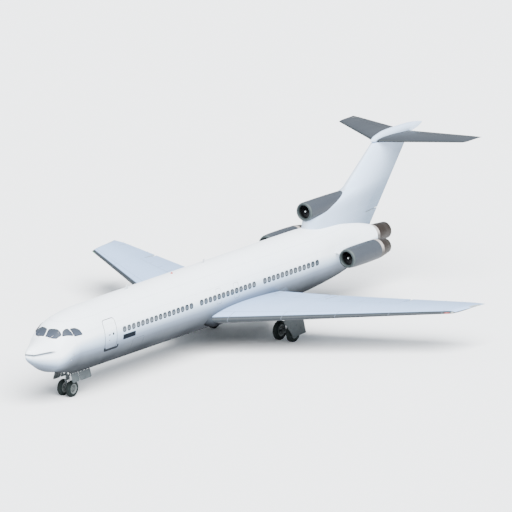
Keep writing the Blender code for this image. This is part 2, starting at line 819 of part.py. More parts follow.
for side, word in ((1, "left"), (-1, "right")):
    mouth = (side * SIDE_ENGINE_X, POD_MOUTH, SIDE_ENGINE_Z)
    end = (side * SIDE_ENGINE_X, POD_END + JOINT_GAP, SIDE_ENGINE_Z)
    nacelle = turned(f"nacelle_{word}", POD_OUTLINE, mouth, (0, 1, 0), POD_SIDES, NACELLE_GREY)
    turned(f"nozzle_{word}", NOZZLE_OUTLINE, end, (0, 1, 0), POD_SIDES, HOT_METAL)
    fan(f"fan_{word}", (mouth[0], POD_MOUTH + FAN_BACK, mouth[2]), 0.34 - JOINT_GAP)
    block_start = (mouth[0], POD_MOUTH + FAN_BACK + 0.34, mouth[2])
    block_end = (mouth[0], POD_END - 0.06, mouth[2])
    rod(f"engine_{word}", block_start, block_end, ENGINE_RADIUS, sides=POD_SIDES, finish=DARK_METAL)

    # Pylon: a level fin between the fuselage and the pod
    stem = []
    for x in (1.2, 3.0):
        stem.append(
            [
                (side * x, 33.05, 4.22),
                (side * x, 33.25, 4.32),
                (side * x, 33.80, 4.38),
                (side * x, 35.30, 4.37),
                (side * x, 36.35, 4.24),
                (side * x, 36.35, 4.20),
                (side * x, 35.30, 4.07),
                (side * x, 33.80, 4.06),
                (side * x, 33.25, 4.12),
            ]
        )
    pylon = loft(f"pylon_{word}", stem, WHITE)
    pod_solid = turned(
        f"pod_{word}_clearance",
        [(0, -0.1)] + [(r + JOINT_GAP, y) for r, y in POD_SKIN] + [(POD_SKIN[-1][0], 4.6), (0, 4.6)],
        mouth,
        (0, 1, 0),
        POD_SIDES,
        helper=True,
    )
    cut(pylon, aft_grown, pod_solid)

# Centre engine: the block lies in a bay that opens at the tail end, behind the nozzle

TAIL_AXIS_Z = 3.89
bay_start = 36.60
engine_bay = rod(
    "center_engine_bay",
    (0, bay_start, TAIL_AXIS_Z),
    (0, AFT_END + 1, TAIL_AXIS_Z),
    ENGINE_RADIUS + JOINT_GAP * 1.5,
    sides=POD_SIDES,
    helper=True,
)
cut(aft, engine_bay)
rod(
    "engine_center",
    (0, bay_start + JOINT_GAP, TAIL_AXIS_Z),
    (0, AFT_END - 0.06, TAIL_AXIS_Z),
    ENGINE_RADIUS,
    sides=POD_SIDES,
    finish=DARK_METAL,
)
TAIL_NOZZLE = pod_outline(
    [(0.655, 0.0), (0.650, 0.30), (0.605, 1.00), (0.575, 1.44)],
    [(0.500, 0.0), (0.505, 0.30), (0.520, 1.00), (0.540, 1.44)],
)
turned("nozzle_center", TAIL_NOZZLE, (0, AFT_END, TAIL_AXIS_Z), (0, 1, 0), POD_SIDES, HOT_METAL)

# Centre intake: a round mouth over the fin's foot, which fades into the fin's leading edge

MOUTH_Y, MOUTH_Z = 31.82, 7.04
# Distance aft, radius, height of the middle
DUCT_STATIONS = [
    (31.82, 0.515, 7.04),
    (31.84, 0.575, 7.04),
    (31.90, 0.625, 7.04),
    (32.05, 0.648, 7.04),
    (33.40, 0.642, 7.045),
    (34.60, 0.560, 7.125),
    (35.60, 0.430, 7.245),
    (36.60, 0.250, 7.400),
]


def duct(name, finish=None, grow=0.0, helper=False):
    rings = []
    for y, radius, middle in DUCT_STATIONS:
        rings.append(fairing_ring(y, radius + grow, middle, radius + grow, POD_SIDES))
    return loft(name, rings, finish, helper)


intake = duct("center_intake", NACELLE_GREY)
mouth_cut = turned(
    "center_intake_throat",
    [(0, -0.2), (POD_SKIN[0][0], -0.2), POD_SKIN[0], *THROAT, (0, THROAT[-1][1])],
    (0, MOUTH_Y, MOUTH_Z),
    (0, 1, 0),
    POD_SIDES,
    helper=True,
)
cut(intake, mouth_cut)
cut(fin, duct("center_intake_clearance", None, JOINT_GAP, True))
fan("fan_center", (0, MOUTH_Y + FAN_BACK, MOUTH_Z), 0.30 - JOINT_GAP)

# Ventral airstair: a slab of the tail's belly, hinged at its front edge, with steps on its inner side

STAIR_START, STAIR_END = 33.95, 37.90
STAIR_HALF_WIDTH = 0.42
STAIR_SWING = 37.0
STAIR_NOSE = 0.14
STAIR_THICKNESS = 0.22
STAIR_STEPS = 9
WELL_ROOF = 3.15


def belly_height(y):
    stations = np.array(FUSELAGE_STATIONS)
    return float(smooth(stations[:, 0], stations[:, 3], y))


stair_hinge = (STAIR_START + STAIR_NOSE, belly_height(STAIR_START + STAIR_NOSE) + STAIR_NOSE)
stair_slope = math.atan2(belly_height(STAIR_END) - belly_height(STAIR_START), STAIR_END - STAIR_START)


NOSE_TURNS = [math.pi / 2 * k / 6 for k in range(7)]


def stair_outline():
    """The slab in side view: a round nose about the hinge, and teeth along the top for steps.

    The teeth's treads are level when the stair is down.
    """
    length = (STAIR_END - STAIR_START) / math.cos(stair_slope)
    first, last = 0.08, 0.04
    pitch = (length - first - last) / STAIR_STEPS
    tread = math.radians(STAIR_SWING) - stair_slope
    back = pitch * math.cos(tread) ** 2
    teeth = []
    for k in range(STAIR_STEPS + 1):
        start = first + k * pitch
        teeth.append((start, STAIR_THICKNESS))
        if k < STAIR_STEPS:
            teeth.append((start + back, STAIR_THICKNESS + back * math.tan(tread)))
    front = belly_height(STAIR_START)
    placed = []
    for a, b in teeth:
        y = STAIR_START + a * math.cos(stair_slope) - b * math.sin(stair_slope)
        z = front + a * math.sin(stair_slope) + b * math.cos(stair_slope)
        placed.append((y, z))
    y, z = stair_hinge
    nose = [(y - STAIR_NOSE * math.sin(turn), z - STAIR_NOSE * math.cos(turn)) for turn in NOSE_TURNS]
    return [(y, 1.0)] + nose + [(STAIR_START, front + STAIR_THICKNESS)] + placed + [(STAIR_END, 1.0)]

stair = fuselage_part("ventral_airstair", CENTER_END, AFT_END - JOINT_GAP, tail_steps)
stair_shape = side_prism("stair_outline", stair_outline(), STAIR_HALF_WIDTH)
boolean(stair, stair_shape, "INTERSECT")
well = box(
    "stair_well",
    (-STAIR_HALF_WIDTH - MOVING_GAP, STAIR_START - MOVING_GAP, 1.0),
    (STAIR_HALF_WIDTH + MOVING_GAP, STAIR_END + 2 * MOVING_GAP, WELL_ROOF),
    helper=True,
)
cut(aft, well)
hinge_pin(stair, aft, (-STAIR_HALF_WIDTH, *stair_hinge), (STAIR_HALF_WIDTH, *stair_hinge), MOVING_GAP)

# Wheels: two tyres on rims that share an axle, which runs through the leg's foot

TYRE_SIDES = 28


def wheel_pair(name, center, half_track, radius, width, rim_radius, axle_radius, tyre_names):
    """One solid of two dished rims and their axle, and the two tyres on it."""
    center = Vector(center)
    half = width / 2
    reach = half_track + half * 0.55
    ends = [center - Vector((reach, 0, 0)), center + Vector((reach, 0, 0))]
    hubs = rod(name, *ends, axle_radius, sides=32, finish=RIM)
    for k, (side, tyre_name) in enumerate(zip((1, -1), tyre_names)):
        middle = center + Vector((side * half_track, 0, 0))
        axis = (side, 0, 0)
        face = half * 0.78
        rim = turned(
            f"{name}_rim_{k}",
            [
                (0.0, -half * 0.5),
                (rim_radius, -half * 0.78),
                (rim_radius, face),
                (rim_radius * 0.84, face),
                (rim_radius * 0.72, face * 0.45),
                (rim_radius * 0.34, face * 0.62),
                (rim_radius * 0.30, face * 0.95),
                (0.0, face * 0.95),
            ],
            middle,
            axis,
            TYRE_SIDES,
            helper=True,
        )
        join(hubs, rim)
        bead = rim_radius + JOINT_GAP
        rise = radius - bead
        outline = [
            (bead, -half * 0.80),
            (bead + rise * 0.50, -half),
            (bead + rise * 0.88, -half * 0.86),
            (radius, -half * 0.55),
            (radius, half * 0.55),
            (bead + rise * 0.88, half * 0.86),
            (bead + rise * 0.50, half),
            (bead, half * 0.80),
        ]
        turned(tyre_name, outline, middle, axis, TYRE_SIDES, TYRE)
    return hubs


# Nose gear: a fixed leg in its bay, a steered foot with the axle's bearing, and the wheels

NOSE_WHEEL_RADIUS = 0.55
NOSE_AXLE = 0.060
STEER_TOP = 1.30
TRUNNION_Z = 2.18


def on_leg(z, ahead=0.0, x=0.0):
    """A point at a height on the nose leg's axis, or ahead of it or beside it."""
    return (x, NOSE_GEAR_Y - ahead, z)


nose_leg = rod("nose_gear_leg", on_leg(STEER_TOP + JOINT_GAP), on_leg(2.25), 0.12, finish=GEAR_GREY)
trunnion_end = BAY_HALF_WIDTH - JOINT_GAP
trunnion_ends = [on_leg(TRUNNION_Z, x=side * trunnion_end) for side in (-1, 1)]
trunnion = rod("nose_trunnion", *trunnion_ends, 0.07, helper=True)
nose_brace = rod("nose_brace", on_leg(1.78), (0, 6.05, BAY_ROOF - 0.10), 0.055, helper=True)
foot_low, foot_high = (-0.12, 5.92, BAY_ROOF - 0.16), (0.12, 6.18, BAY_ROOF - JOINT_GAP)
brace_foot = box("nose_brace_foot", foot_low, foot_high, helper=True)
join(nose_leg, trunnion, nose_brace, brace_foot)

steering = rod("nose_gear_steering", on_leg(1.12), on_leg(STEER_TOP), 0.15, finish=GEAR_GREY)
piston = rod("nose_piston", on_leg(NOSE_WHEEL_RADIUS), on_leg(1.2), 0.075, helper=True)
foot_ends = [on_leg(NOSE_WHEEL_RADIUS, x=x) for x in (-0.18, 0.18)]
foot = rod("nose_axle_housing", *foot_ends, 0.105, sides=24, helper=True)
bore_ends = [on_leg(NOSE_WHEEL_RADIUS, x=x) for x in (-0.5, 0.5)]
foot_bore = rod("nose_axle_bore", *bore_ends, NOSE_AXLE + PIN_GAP, sides=32, helper=True)
upper_low, upper_high = (-0.06, NOSE_GEAR_Y - 0.30, 1.13), (0.06, NOSE_GEAR_Y, 1.19)
scissor_upper = box("nose_scissor_upper", upper_low, upper_high, helper=True)
scissor_ends = [on_leg(1.14, ahead=0.28), on_leg(0.66, ahead=0.02)]
scissor_lower = rod("nose_scissor_lower", *scissor_ends, 0.035, sides=8, helper=True)
join(steering, piston, foot, scissor_upper, scissor_lower)
wheel_pair(
    "nose_wheel_hubs",
    (0, NOSE_GEAR_Y, NOSE_WHEEL_RADIUS),
    0.36,
    NOSE_WHEEL_RADIUS,
    0.29,
    0.35,
    NOSE_AXLE,
    ("nose_tyre_left", "nose_tyre_right"),
)

# Nose gear doors: fixed front pair beside the leg, hinged rear pair, all hanging open

DOOR_HINGE_X, DOOR_HINGE_Z = 0.645, 1.690
DOOR_REACH = 0.62
DOOR_FLARE = math.radians(16)
FRONT_DOOR = (4.18, 4.98)
REAR_DOOR = (5.03, 6.33)
DOOR_PIN = 0.018
LUG = (4.992, 5.018)


def gear_door(name, side, start, end):
    """A plate that hangs outwards from the bay's edge."""
    across = Vector((side * math.sin(DOOR_FLARE), 0, -math.cos(DOOR_FLARE)))
    out = Vector((math.cos(DOOR_FLARE), 0, side * math.sin(DOOR_FLARE))) * 0.018
    hinge = Vector((side * DOOR_HINGE_X, 0, DOOR_HINGE_Z))
    rings = []
    for y in (start, end):
        ring = []
        for reach, offset in ((0.0, -1), (0.0, 1), (DOOR_REACH, 1), (DOOR_REACH, -1)):
            p = hinge + across * reach + out * offset
            ring.append((p.x, y, p.z))
        rings.append(ring)
    return loft(name, rings, GEAR_GREY)


def beside(side, near, far, start, end, low, high, name):
    """A box between two distances from the plane of symmetry, on one side."""
    x0, x1 = sorted((side * near, side * far))
    return box(name, (x0, start, low), (x1, end, high), helper=True)


for side, word in ((1, "left"), (-1, "right")):
    front = gear_door(f"nose_gear_front_door_{word}", side, *FRONT_DOOR)
    flange_y = (FRONT_DOOR[0] + 0.1, FRONT_DOOR[1] - 0.1)
    flange_x = (0.63, BAY_HALF_WIDTH - JOINT_GAP)
    flange = beside(side, *flange_x, *flange_y, 1.675, 1.72, f"door_flange_{word}")
    join(front, flange)
    rear = gear_door(f"nose_gear_rear_door_{word}", side, *REAR_DOOR)
    lug = beside(side, 0.60, 0.72, LUG[0], LUG[1], 1.65, 1.735, f"door_lug_{word}")
    hinge_line = (side * DOOR_HINGE_X, DOOR_HINGE_Z)
    pin = rod(
        f"door_pin_{word}",
        (hinge_line[0], LUG[0] - 0.006, hinge_line[1]),
        (hinge_line[0], BAY_END + 0.05, hinge_line[1]),
        DOOR_PIN,
        helper=True,
    )
    bore = rod(
        f"door_bore_{word}",
        (hinge_line[0], LUG[0] - 0.02, hinge_line[1]),
        (hinge_line[0], BAY_END + 0.06, hinge_line[1]),
        DOOR_PIN + PIN_GAP,
        helper=True,
    )
    join(rear, pin)
    join(forward, lug)
    cut(forward, bore)

# Main gear: a leg in the wing, its brace to the belly, the wheels, and the plate that covers the leg

MAIN_GEAR_X, MAIN_GEAR_Y = 3.24, 25.26
MAIN_WHEEL_RADIUS = 0.645
MAIN_AXLE = 0.085
LEG_TOP = 2.78
LEG_RADIUS = 0.15
DOOR_PLATE_X = (4.13, 4.17)
DOOR_PLATE = [(23.95, 1.78), (26.05, 1.78), (26.15, 0.50), (25.25, 0.42)]
ARM_Z = 1.56

for side, word in ((1, "left"), (-1, "right")):

    def gear_point(z, aft=0.0, x=MAIN_GEAR_X):
        """A point at a height on this side's main leg, or aft of it or at another x."""
        return (side * x, MAIN_GEAR_Y + aft, z)

    foot_center = gear_point(MAIN_WHEEL_RADIUS)
    leg = rod(f"main_gear_leg_{word}", gear_point(1.35), gear_point(LEG_TOP), LEG_RADIUS, finish=GEAR_GREY)
    piston = rod(f"main_piston_{word}", foot_center, gear_point(1.4), 0.10, helper=True)
    housing_ends = [gear_point(MAIN_WHEEL_RADIUS, x=MAIN_GEAR_X + reach) for reach in (-0.26, 0.26)]
    housing = rod(f"main_axle_housing_{word}", *housing_ends, 0.135, sides=24, helper=True)
    bore_ends = [gear_point(MAIN_WHEEL_RADIUS, x=MAIN_GEAR_X + reach) for reach in (-0.5, 0.5)]
    axle_bore = rod(f"main_axle_bore_{word}", *bore_ends, MAIN_AXLE + PIN_GAP, sides=32, helper=True)
    brace = rod(f"main_brace_{word}", gear_point(1.72), gear_point(2.42, x=1.6), 0.065, helper=True)
    link_ends = [gear_point(1.42, -0.05), gear_point(1.08, 0.32)]
    link = rod(f"main_link_{word}", *link_ends, 0.045, sides=8, helper=True)
    low_link_ends = [gear_point(1.12, 0.30), gear_point(0.72, 0.02)]
    link_low = rod(f"main_link_low_{word}", *low_link_ends, 0.045, sides=8, helper=True)
    join(leg, piston, housing, brace, link, link_low)
    low, high = sorted((0.0, side * (BELLY_HALF_WIDTH + JOINT_GAP)))
    belly_side = box(f"belly_side_{word}", (low, 20, 1), (high, 27, 4), helper=True)
    cut(leg, axle_bore, belly_side)
    pocket_ends = [gear_point(1.2), gear_point(LEG_TOP + JOINT_GAP)]
    pocket = rod(f"leg_pocket_{word}", *pocket_ends, LEG_RADIUS + JOINT_GAP, helper=True)
    cut(bpy.data.objects[f"wing_{word}"], pocket)
    wheel_pair(
        f"main_wheel_hubs_{word}",
        foot_center,
        0.54,
        MAIN_WHEEL_RADIUS,
        0.40,
        0.38,
        MAIN_AXLE,
        (f"main_tyre_{word}_port", f"main_tyre_{word}_starboard"),
    )
    sides = [[(side * x, y, z) for y, z in DOOR_PLATE] for x in DOOR_PLATE_X]
    plate = loft(f"main_gear_door_{word}", sides, GEAR_GREY)
    for k, aft_of_leg in enumerate((-0.06, 0.06)):
        arm_ends = [gear_point(ARM_Z, aft_of_leg), gear_point(ARM_Z, aft_of_leg, x=4.15)]
        join(plate, rod(f"door_arm_{word}_{k}", *arm_ends, 0.035, sides=8, helper=True))
    leg_grown = rod(f"leg_clearance_{word}", *pocket_ends, LEG_RADIUS + JOINT_GAP, helper=True)
    cut(plate, leg_grown)

# Flat pads for jacks under the fuselage and the wings, and a lug for a tow bar at the nose axle

PAD_RADIUS = 0.08
MOUNT_PADS = [
    ("nose_jack_pad", (0.0, 7.60, 1.50), "the saddle of a jack under the forward fuselage"),
    ("wing_jack_pad_left", (2.90, 22.50, 2.25), "the saddle of a jack under the port wing"),
    ("wing_jack_pad_right", (-2.90, 22.50, 2.25), "the saddle of a jack under the starboard wing"),
]
for (name, (x, y, z), _), piece in zip(MOUNT_PADS, ("fuselage_forward", "wing_left", "wing_right")):
    pad = rod(f"{name}_shape", (x, y, z), (x, y, z + 0.40), PAD_RADIUS, helper=True)
    join(bpy.data.objects[piece], pad)
tow_lug = box("tow_lug", (-0.05, 4.56, 0.51), (0.05, 4.70, 0.59), helper=True)
join(steering, tow_lug)
cut(steering, foot_bore)
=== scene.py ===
"""A narrow body trijet airliner at half its real size, dressed for its portrait.

Every piece is drawn at the airliner's full size, in metres: x to the port wing tip, y aft from the
tip of the nose, z up from the ground. to_model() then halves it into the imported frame.
"""

import math

import bmesh
import bpy
import numpy as np
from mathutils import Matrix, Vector
from mathutils.bvhtree import BVHTree


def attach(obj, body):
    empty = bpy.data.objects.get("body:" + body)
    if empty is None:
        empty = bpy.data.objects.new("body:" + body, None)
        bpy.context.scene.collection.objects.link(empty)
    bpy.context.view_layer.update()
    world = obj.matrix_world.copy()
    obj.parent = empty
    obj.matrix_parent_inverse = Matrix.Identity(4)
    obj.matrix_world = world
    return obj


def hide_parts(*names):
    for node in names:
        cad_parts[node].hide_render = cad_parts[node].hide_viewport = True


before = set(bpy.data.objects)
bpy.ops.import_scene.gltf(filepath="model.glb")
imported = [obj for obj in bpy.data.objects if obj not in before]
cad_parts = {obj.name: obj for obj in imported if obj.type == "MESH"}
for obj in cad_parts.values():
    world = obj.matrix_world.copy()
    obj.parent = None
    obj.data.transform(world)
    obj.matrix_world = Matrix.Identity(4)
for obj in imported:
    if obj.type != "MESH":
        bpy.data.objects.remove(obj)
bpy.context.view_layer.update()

# Camera: a long lens off the port bow, a little above the cabin roof, as in the photograph.
# The stage is a pale floor under a broad white sky, with one large soft lamp high on the port side.

MODEL_SCALE = 0.5
LENGTH = 45.70


def to_model(points):
    """Full-size points to the frame: moved so that the middle of the length is at y 0, then halved."""
    return (np.asarray(points, float) - (0, LENGTH / 2, 0)) * MODEL_SCALE


CAMERA_AZIMUTH, CAMERA_ELEVATION = math.radians(35.264), math.radians(14.018)
CAMERA_TARGET = (3.128, 21.9, 6.489)
CAMERA_DISTANCE = 1500.0
PIXELS_PER_METRE = 15.001
PHOTO_WIDTH = 512

camera_back = np.array([
    math.sin(CAMERA_AZIMUTH) * math.cos(CAMERA_ELEVATION),
    -math.cos(CAMERA_AZIMUTH) * math.cos(CAMERA_ELEVATION),
    math.sin(CAMERA_ELEVATION)
])
camera = bpy.data.objects.new("camera", bpy.data.cameras.new("camera"))
camera.location = to_model(np.array(CAMERA_TARGET) + camera_back * CAMERA_DISTANCE)
camera.rotation_euler = Vector(camera_back).to_track_quat("Z", "Y").to_euler()
camera.data.lens = camera.data.sensor_width * PIXELS_PER_METRE * CAMERA_DISTANCE / PHOTO_WIDTH
camera.data.clip_start, camera.data.clip_end = 10, 2000
bpy.context.collection.objects.link(camera)
bpy.context.scene.camera = camera


class Wire:
    """A shader socket. Arithmetic on it adds the Math nodes that work it out."""

    def __init__(self, paint, socket):
        self.paint, self.socket = paint, socket

    def math(self, operation, *others):
        return self.paint.node("ShaderNodeMath", {"operation": operation}, dict(enumerate((self, *others))))

    def __add__(self, other):
        return self.math("ADD", other)

    def __sub__(self, other):
        return self.math("SUBTRACT", other)

    def __mul__(self, other):
        return self.math("MULTIPLY", other)

    def __truediv__(self, other):
        return self.math("DIVIDE", other)

    def __rsub__(self, other):
        return self.paint.node("ShaderNodeMath", {"operation": "SUBTRACT"}, {0: other, 1: self})

    __radd__, __rmul__ = __add__, __mul__

    def __abs__(self):
        return self.math("ABSOLUTE")

    def __or__(self, other):
        return self.math("MAXIMUM", other)

    def __and__(self, other):
        return self.math("MINIMUM", other)


class Paint:
    """A finish in the making. Its patterns are worked out in full-size metres of the airliner."""

    def __init__(self, name, color, roughness, metallic=0.0, coat=0.0, specular=0.2):
        self.material = bpy.data.materials.new(name)
        self.material.use_nodes = True
        self.tree = self.material.node_tree
        self.shader = self.tree.nodes["Principled BSDF"]
        sockets = {"Base Color": (*color, 1), "Roughness": roughness, "Metallic": metallic}
        sockets |= {"Coat Weight": coat, "Coat Roughness": 0.08, "Specular IOR Level": specular}
        for key, value in sockets.items():
            self.shader.inputs[key].default_value = value
        coordinates = self.node("ShaderNodeTexCoord", output="Object")
        self.spot = self.stretched(coordinates, (1 / MODEL_SCALE,) * 3, (0, LENGTH / 2, 0))
        parts = self.tree.nodes.new("ShaderNodeSeparateXYZ")
        self.tree.links.new(self.spot.socket, parts.inputs[0])
        self.x, self.y, self.z = (Wire(self, parts.outputs[k]) for k in range(3))

    def node(self, kind, settings=None, inputs=None, output=0):
        made = self.tree.nodes.new(kind)
        for key, value in (settings or {}).items():
            setattr(made, key, value)
        for key, value in (inputs or {}).items():
            if isinstance(value, Wire):
                self.tree.links.new(value.socket, made.inputs[key])
            else:
                made.inputs[key].default_value = value
        return Wire(self, made.outputs[output])

    def stretched(self, vector, factors, shift=(0, 0, 0)):
        """The vector times the factors, then shifted."""
        inputs = {0: vector, 1: factors, 2: shift}
        return self.node("ShaderNodeVectorMath", {"operation": "MULTIPLY_ADD"}, inputs)

    def noise(self, scale, detail=3.0, factors=(1, 1, 1)):
        """Soft noise from 0 to 1, with a grain of 1 / scale metres, drawn out by the factors."""
        vector = self.stretched(self.spot, factors)
        return self.node("ShaderNodeTexNoise", None, {"Vector": vector, "Scale": scale, "Detail": detail})

    def ramp(self, value, low, high):
        """0 where the value is under low, 1 where it is over high, and smooth between."""
        inputs = {"Value": value, "From Min": low, "From Max": high}
        return self.node("ShaderNodeMapRange", {"interpolation_type": "SMOOTHSTEP", "clamp": True}, inputs)

    def line(self, value, at, width):
        """1 on a soft-edged line of that width."""
        return 1 - self.ramp(abs(value - at), width * 0.3, width * 0.7)

    def lines(self, value, pitch, start, width):
        """1 on soft-edged lines of that width at start, start + pitch and so on."""
        away = abs(((value - start) / pitch + 0.5).math("FRACT") - 0.5) * pitch
        return self.line(away, 0.0, width)

    def broken(self, value, knots):
        """The broken line through the knots (at, height), carried on straight past both ends."""
        slopes = [(b[1] - a[1]) / (b[0] - a[0]) for a, b in zip(knots, knots[1:])]
        height = (value - knots[0][0]) * slopes[0] + knots[0][1]
        for (at, _), before, after in zip(knots[1:], slopes, slopes[1:]):
            height = height + (value - at).math("MAXIMUM", 0.0) * (after - before)
        return height

    def blend(self, share, below, above):
        """One colour turning into another as share goes from 0 to 1."""
        ends = [color if isinstance(color, Wire) else (*color, 1) for color in (below, above)]
        inputs = {0: share, 6: ends[0], 7: ends[1]}
        return self.node("ShaderNodeMix", {"data_type": "RGBA", "clamp_factor": True}, inputs, output=2)

    def scale(self, value, stops):
        """A colour read off a scale of (place from 0 to 1, colour) stops."""
        made = self.node("ShaderNodeValToRGB", None, {"Fac": value})
        elements = made.socket.node.color_ramp.elements
        for k, (place, color) in enumerate(stops):
            element = elements[k] if k < 2 else elements.new(place)
            element.position, element.color = place, (*color, 1)
        return made

    def color(self, wire):
        self.tree.links.new(wire.socket, self.shader.inputs["Base Color"])

    def roughness(self, wire):
        self.tree.links.new(wire.socket, self.shader.inputs["Roughness"])

    def mottled(self, grain, low, high, rough=None, detail=3.0, factors=(1, 1, 1)):
        """Two tones that run into each other through soft noise, and a roughness (least, rise)."""
        cloud = self.noise(grain, detail, factors)
        self.color(self.blend(cloud, low, high))
        if rough:
            self.roughness(rough[0] + cloud * rough[1])

    def bump(self, height, depth, strength=1.0):
        """Relief: height runs from 0 to 1 over a depth in full-size metres."""
        inputs = {"Strength": strength, "Distance": depth * MODEL_SCALE, "Height": height}
        self.tree.links.new(self.node("ShaderNodeBump", None, inputs).socket, self.shader.inputs["Normal"])


def finish_piece(obj, body, slot, *nodes):
    """The piece moves with its body and stands for its nodes of the frame. Its slot is not used."""
    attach(obj, body)
    if nodes:
        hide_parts(*nodes)
    return obj


floor_paint = Paint("floor", (0.86, 0.86, 0.86), 0.9)
floor_paint.color(floor_paint.blend(floor_paint.noise(0.05), (0.85, 0.85, 0.85), (0.87, 0.87, 0.87)))
FLOOR_REACH = 400.0
corners = np.array([(-1, -1, 0), (1, -1, 0), (1, 1, 0), (-1, 1, 0)]) * FLOOR_REACH
floor = bpy.data.objects.new("floor", bpy.data.meshes.new("floor"))
floor.data.from_pydata(corners.tolist(), [], [(0, 1, 2, 3)])
floor.data.materials.append(floor_paint.material)
bpy.context.collection.objects.link(floor)

SKY_STRENGTH = 1.1
world = bpy.data.worlds.new("sky")
bpy.context.scene.world = world
world.use_nodes = True
world.node_tree.nodes["Background"].inputs["Color"].default_value = (0.84, 0.92, 1, 1)
world.node_tree.nodes["Background"].inputs["Strength"].default_value = SKY_STRENGTH

LAMP_STRENGTH = 15
LAMP_DIRECTION = (0.48, -0.40, 0.80)
lamp = bpy.data.objects.new("soft_lamp", bpy.data.lights.new("soft_lamp", "SUN"))
lamp.data.energy = LAMP_STRENGTH
lamp.data.angle = math.radians(55)
lamp.data.color = (0.97, 0.985, 1)
lamp.rotation_euler = Vector(LAMP_DIRECTION).to_track_quat("Z", "Y").to_euler()
bpy.context.collection.objects.link(lamp)

# Fuselage skin: aluminium panels riveted over frames half a metre apart, painted gloss white.
# It is a straight oval tube that runs down to the nose, and up to the tail engine's nozzle.

TUBE_HALF_WIDTH, TUBE_MIDDLE, TUBE_HALF_HEIGHT = 1.88, 3.7275, 2.1875
# Distance from the nose, half width, top, bottom
FUSELAGE_STATIONS = np.array([
    (0.00, 0.03, 3.67, 3.61), (0.12, 0.14, 3.92, 3.40), (0.45, 0.40, 4.12, 3.12),
    (1.25, 0.87, 4.34, 2.64), (2.10, 1.36, 4.59, 2.19), (2.55, 1.53, 5.02, 2.08),
    (3.20, 1.70, 5.42, 1.95), (4.20, 1.82, 5.72, 1.73), (6.20, TUBE_HALF_WIDTH, 5.915, 1.54),
    (28.50, TUBE_HALF_WIDTH, 5.915, 1.54), (31.00, 1.87, 5.905, 1.66), (34.70, 1.64, 5.74, 2.02),
    (37.50, 1.20, 5.24, 2.62), (39.90, 0.66, 4.55, 3.23)
])
RADOME_END, FORWARD_END, CENTER_END, AFT_END = 1.25, 15.40, 28.40, 39.90
PIECE_GAP = 0.004
SKIN_SIDES, NOSE_SIDES = 112, 224


def smooth(knots, values, at):
    """Monotone cubic through the knots: slopes are harmonic means, and zero at turning points."""
    steps = np.diff(knots)
    rise = np.diff(values) / steps
    slopes = np.zeros_like(knots)
    before, after = steps[:-1], steps[1:]
    with np.errstate(divide="ignore", invalid="ignore"):
        mean = 3 * (before + after) / ((2 * after + before) / rise[:-1] + (after + 2 * before) / rise[1:])
    slopes[1:-1] = np.where(rise[:-1] * rise[1:] > 0, mean, 0)
    slopes[0], slopes[-1] = rise[0], rise[-1]
    i = np.clip(np.searchsorted(knots, at) - 1, 0, len(steps) - 1)
    t = (at - knots[i]) / steps[i]
    return (
        values[i] * (1 + 2 * t) * (1 - t) ** 2
        + steps[i] * slopes[i] * t * (1 - t) ** 2
        + values[i + 1] * t**2 * (3 - 2 * t)
        + steps[i] * slopes[i + 1] * t**2 * (t - 1)
    )


def stations_at(table, y):
    """What every column of a table of stations comes to at distance y, on smooth curves."""
    return [smooth(table[:, 0], column, y) for column in table.T[1:]]


def points_at(x, y, z):
    """One array of points from three arrays that are stretched to a common shape."""
    return np.stack(np.broadcast_arrays(x, y, z), axis=-1)


def fuselage_point(y, angle, out=0.0):
    """A point of the oval skin at distance y, at an angle round from port over the roof."""
    y = np.asarray(y, float)
    half_width, top, bottom = stations_at(FUSELAGE_STATIONS, y)
    x = (half_width + out) * np.cos(angle)
    z = (top + bottom) / 2 + ((top - bottom) / 2 + out) * np.sin(angle)
    return points_at(x, y, z)


def round_angles(count):
    """That many angles, evenly round a circle."""
    return np.linspace(0, 2 * math.pi, count, endpoint=False)


def fuselage_rings(stations, sides=SKIN_SIDES, out=0.0):
    return fuselage_point(np.asarray(stations)[:, None], round_angles(sides)[None, :], out)


def creased(rings):
    """The rings with a valley pressed in along the crease: a bell curve of the height above its line."""
    knots = np.array(CREASE_LINE, float)
    y, z = rings[..., 1], rings[..., 2]
    away = z - np.interp(y, knots[:, 0], knots[:, 1])
    press = 0.035 * np.exp(-((away / 0.045) ** 2)) * np.clip((1.85 - y) / 0.8, 0, 1)
    rings[..., 0] -= np.sign(rings[..., 0]) * np.minimum(press, np.abs(rings[..., 0]) * 0.3)
    return rings


def mesh_object(name, points, faces, paint, angle=40):
    """An object from full-size points and faces, smooth except at edges sharper than the angle."""
    mesh = bpy.data.meshes.new(name)
    mesh.from_pydata(to_model(np.asarray(points).reshape(-1, 3)).tolist(), [], faces)
    shape = bmesh.new()
    shape.from_mesh(mesh)
    bmesh.ops.remove_doubles(shape, verts=shape.verts, dist=1e-6)
    bmesh.ops.recalc_face_normals(shape, faces=shape.faces)
    if shape.calc_volume(signed=True) < 0:
        bmesh.ops.reverse_faces(shape, faces=shape.faces)
    shape.to_mesh(mesh)
    shape.free()
    mesh.shade_smooth()
    mesh.set_sharp_from_angle(angle=math.radians(angle))
    obj = bpy.data.objects.new(name, mesh)
    bpy.context.collection.objects.link(obj)
    if paint:
        mesh.materials.append(paint.material)
    return obj


def grid_faces(rows, columns, start=0, ends="caps"):
    """Faces of a grid whose rows are rings. The ends get caps, or the last row joins the first."""
    joined = ends == "joined"
    r, c = np.meshgrid(np.arange(rows if joined else rows - 1), np.arange(columns), indexing="ij")
    below, beside = (r + 1) % rows, (c + 1) % columns
    quads = [r * columns + c, r * columns + beside, below * columns + beside, below * columns + c]
    faces = (np.stack(quads, axis=-1).reshape(-1, 4) + start).tolist()
    if ends == "caps":
        faces.append([start + k for k in range(columns)])
        faces.append([start + (rows - 1) * columns + k for k in range(columns)])
    return faces


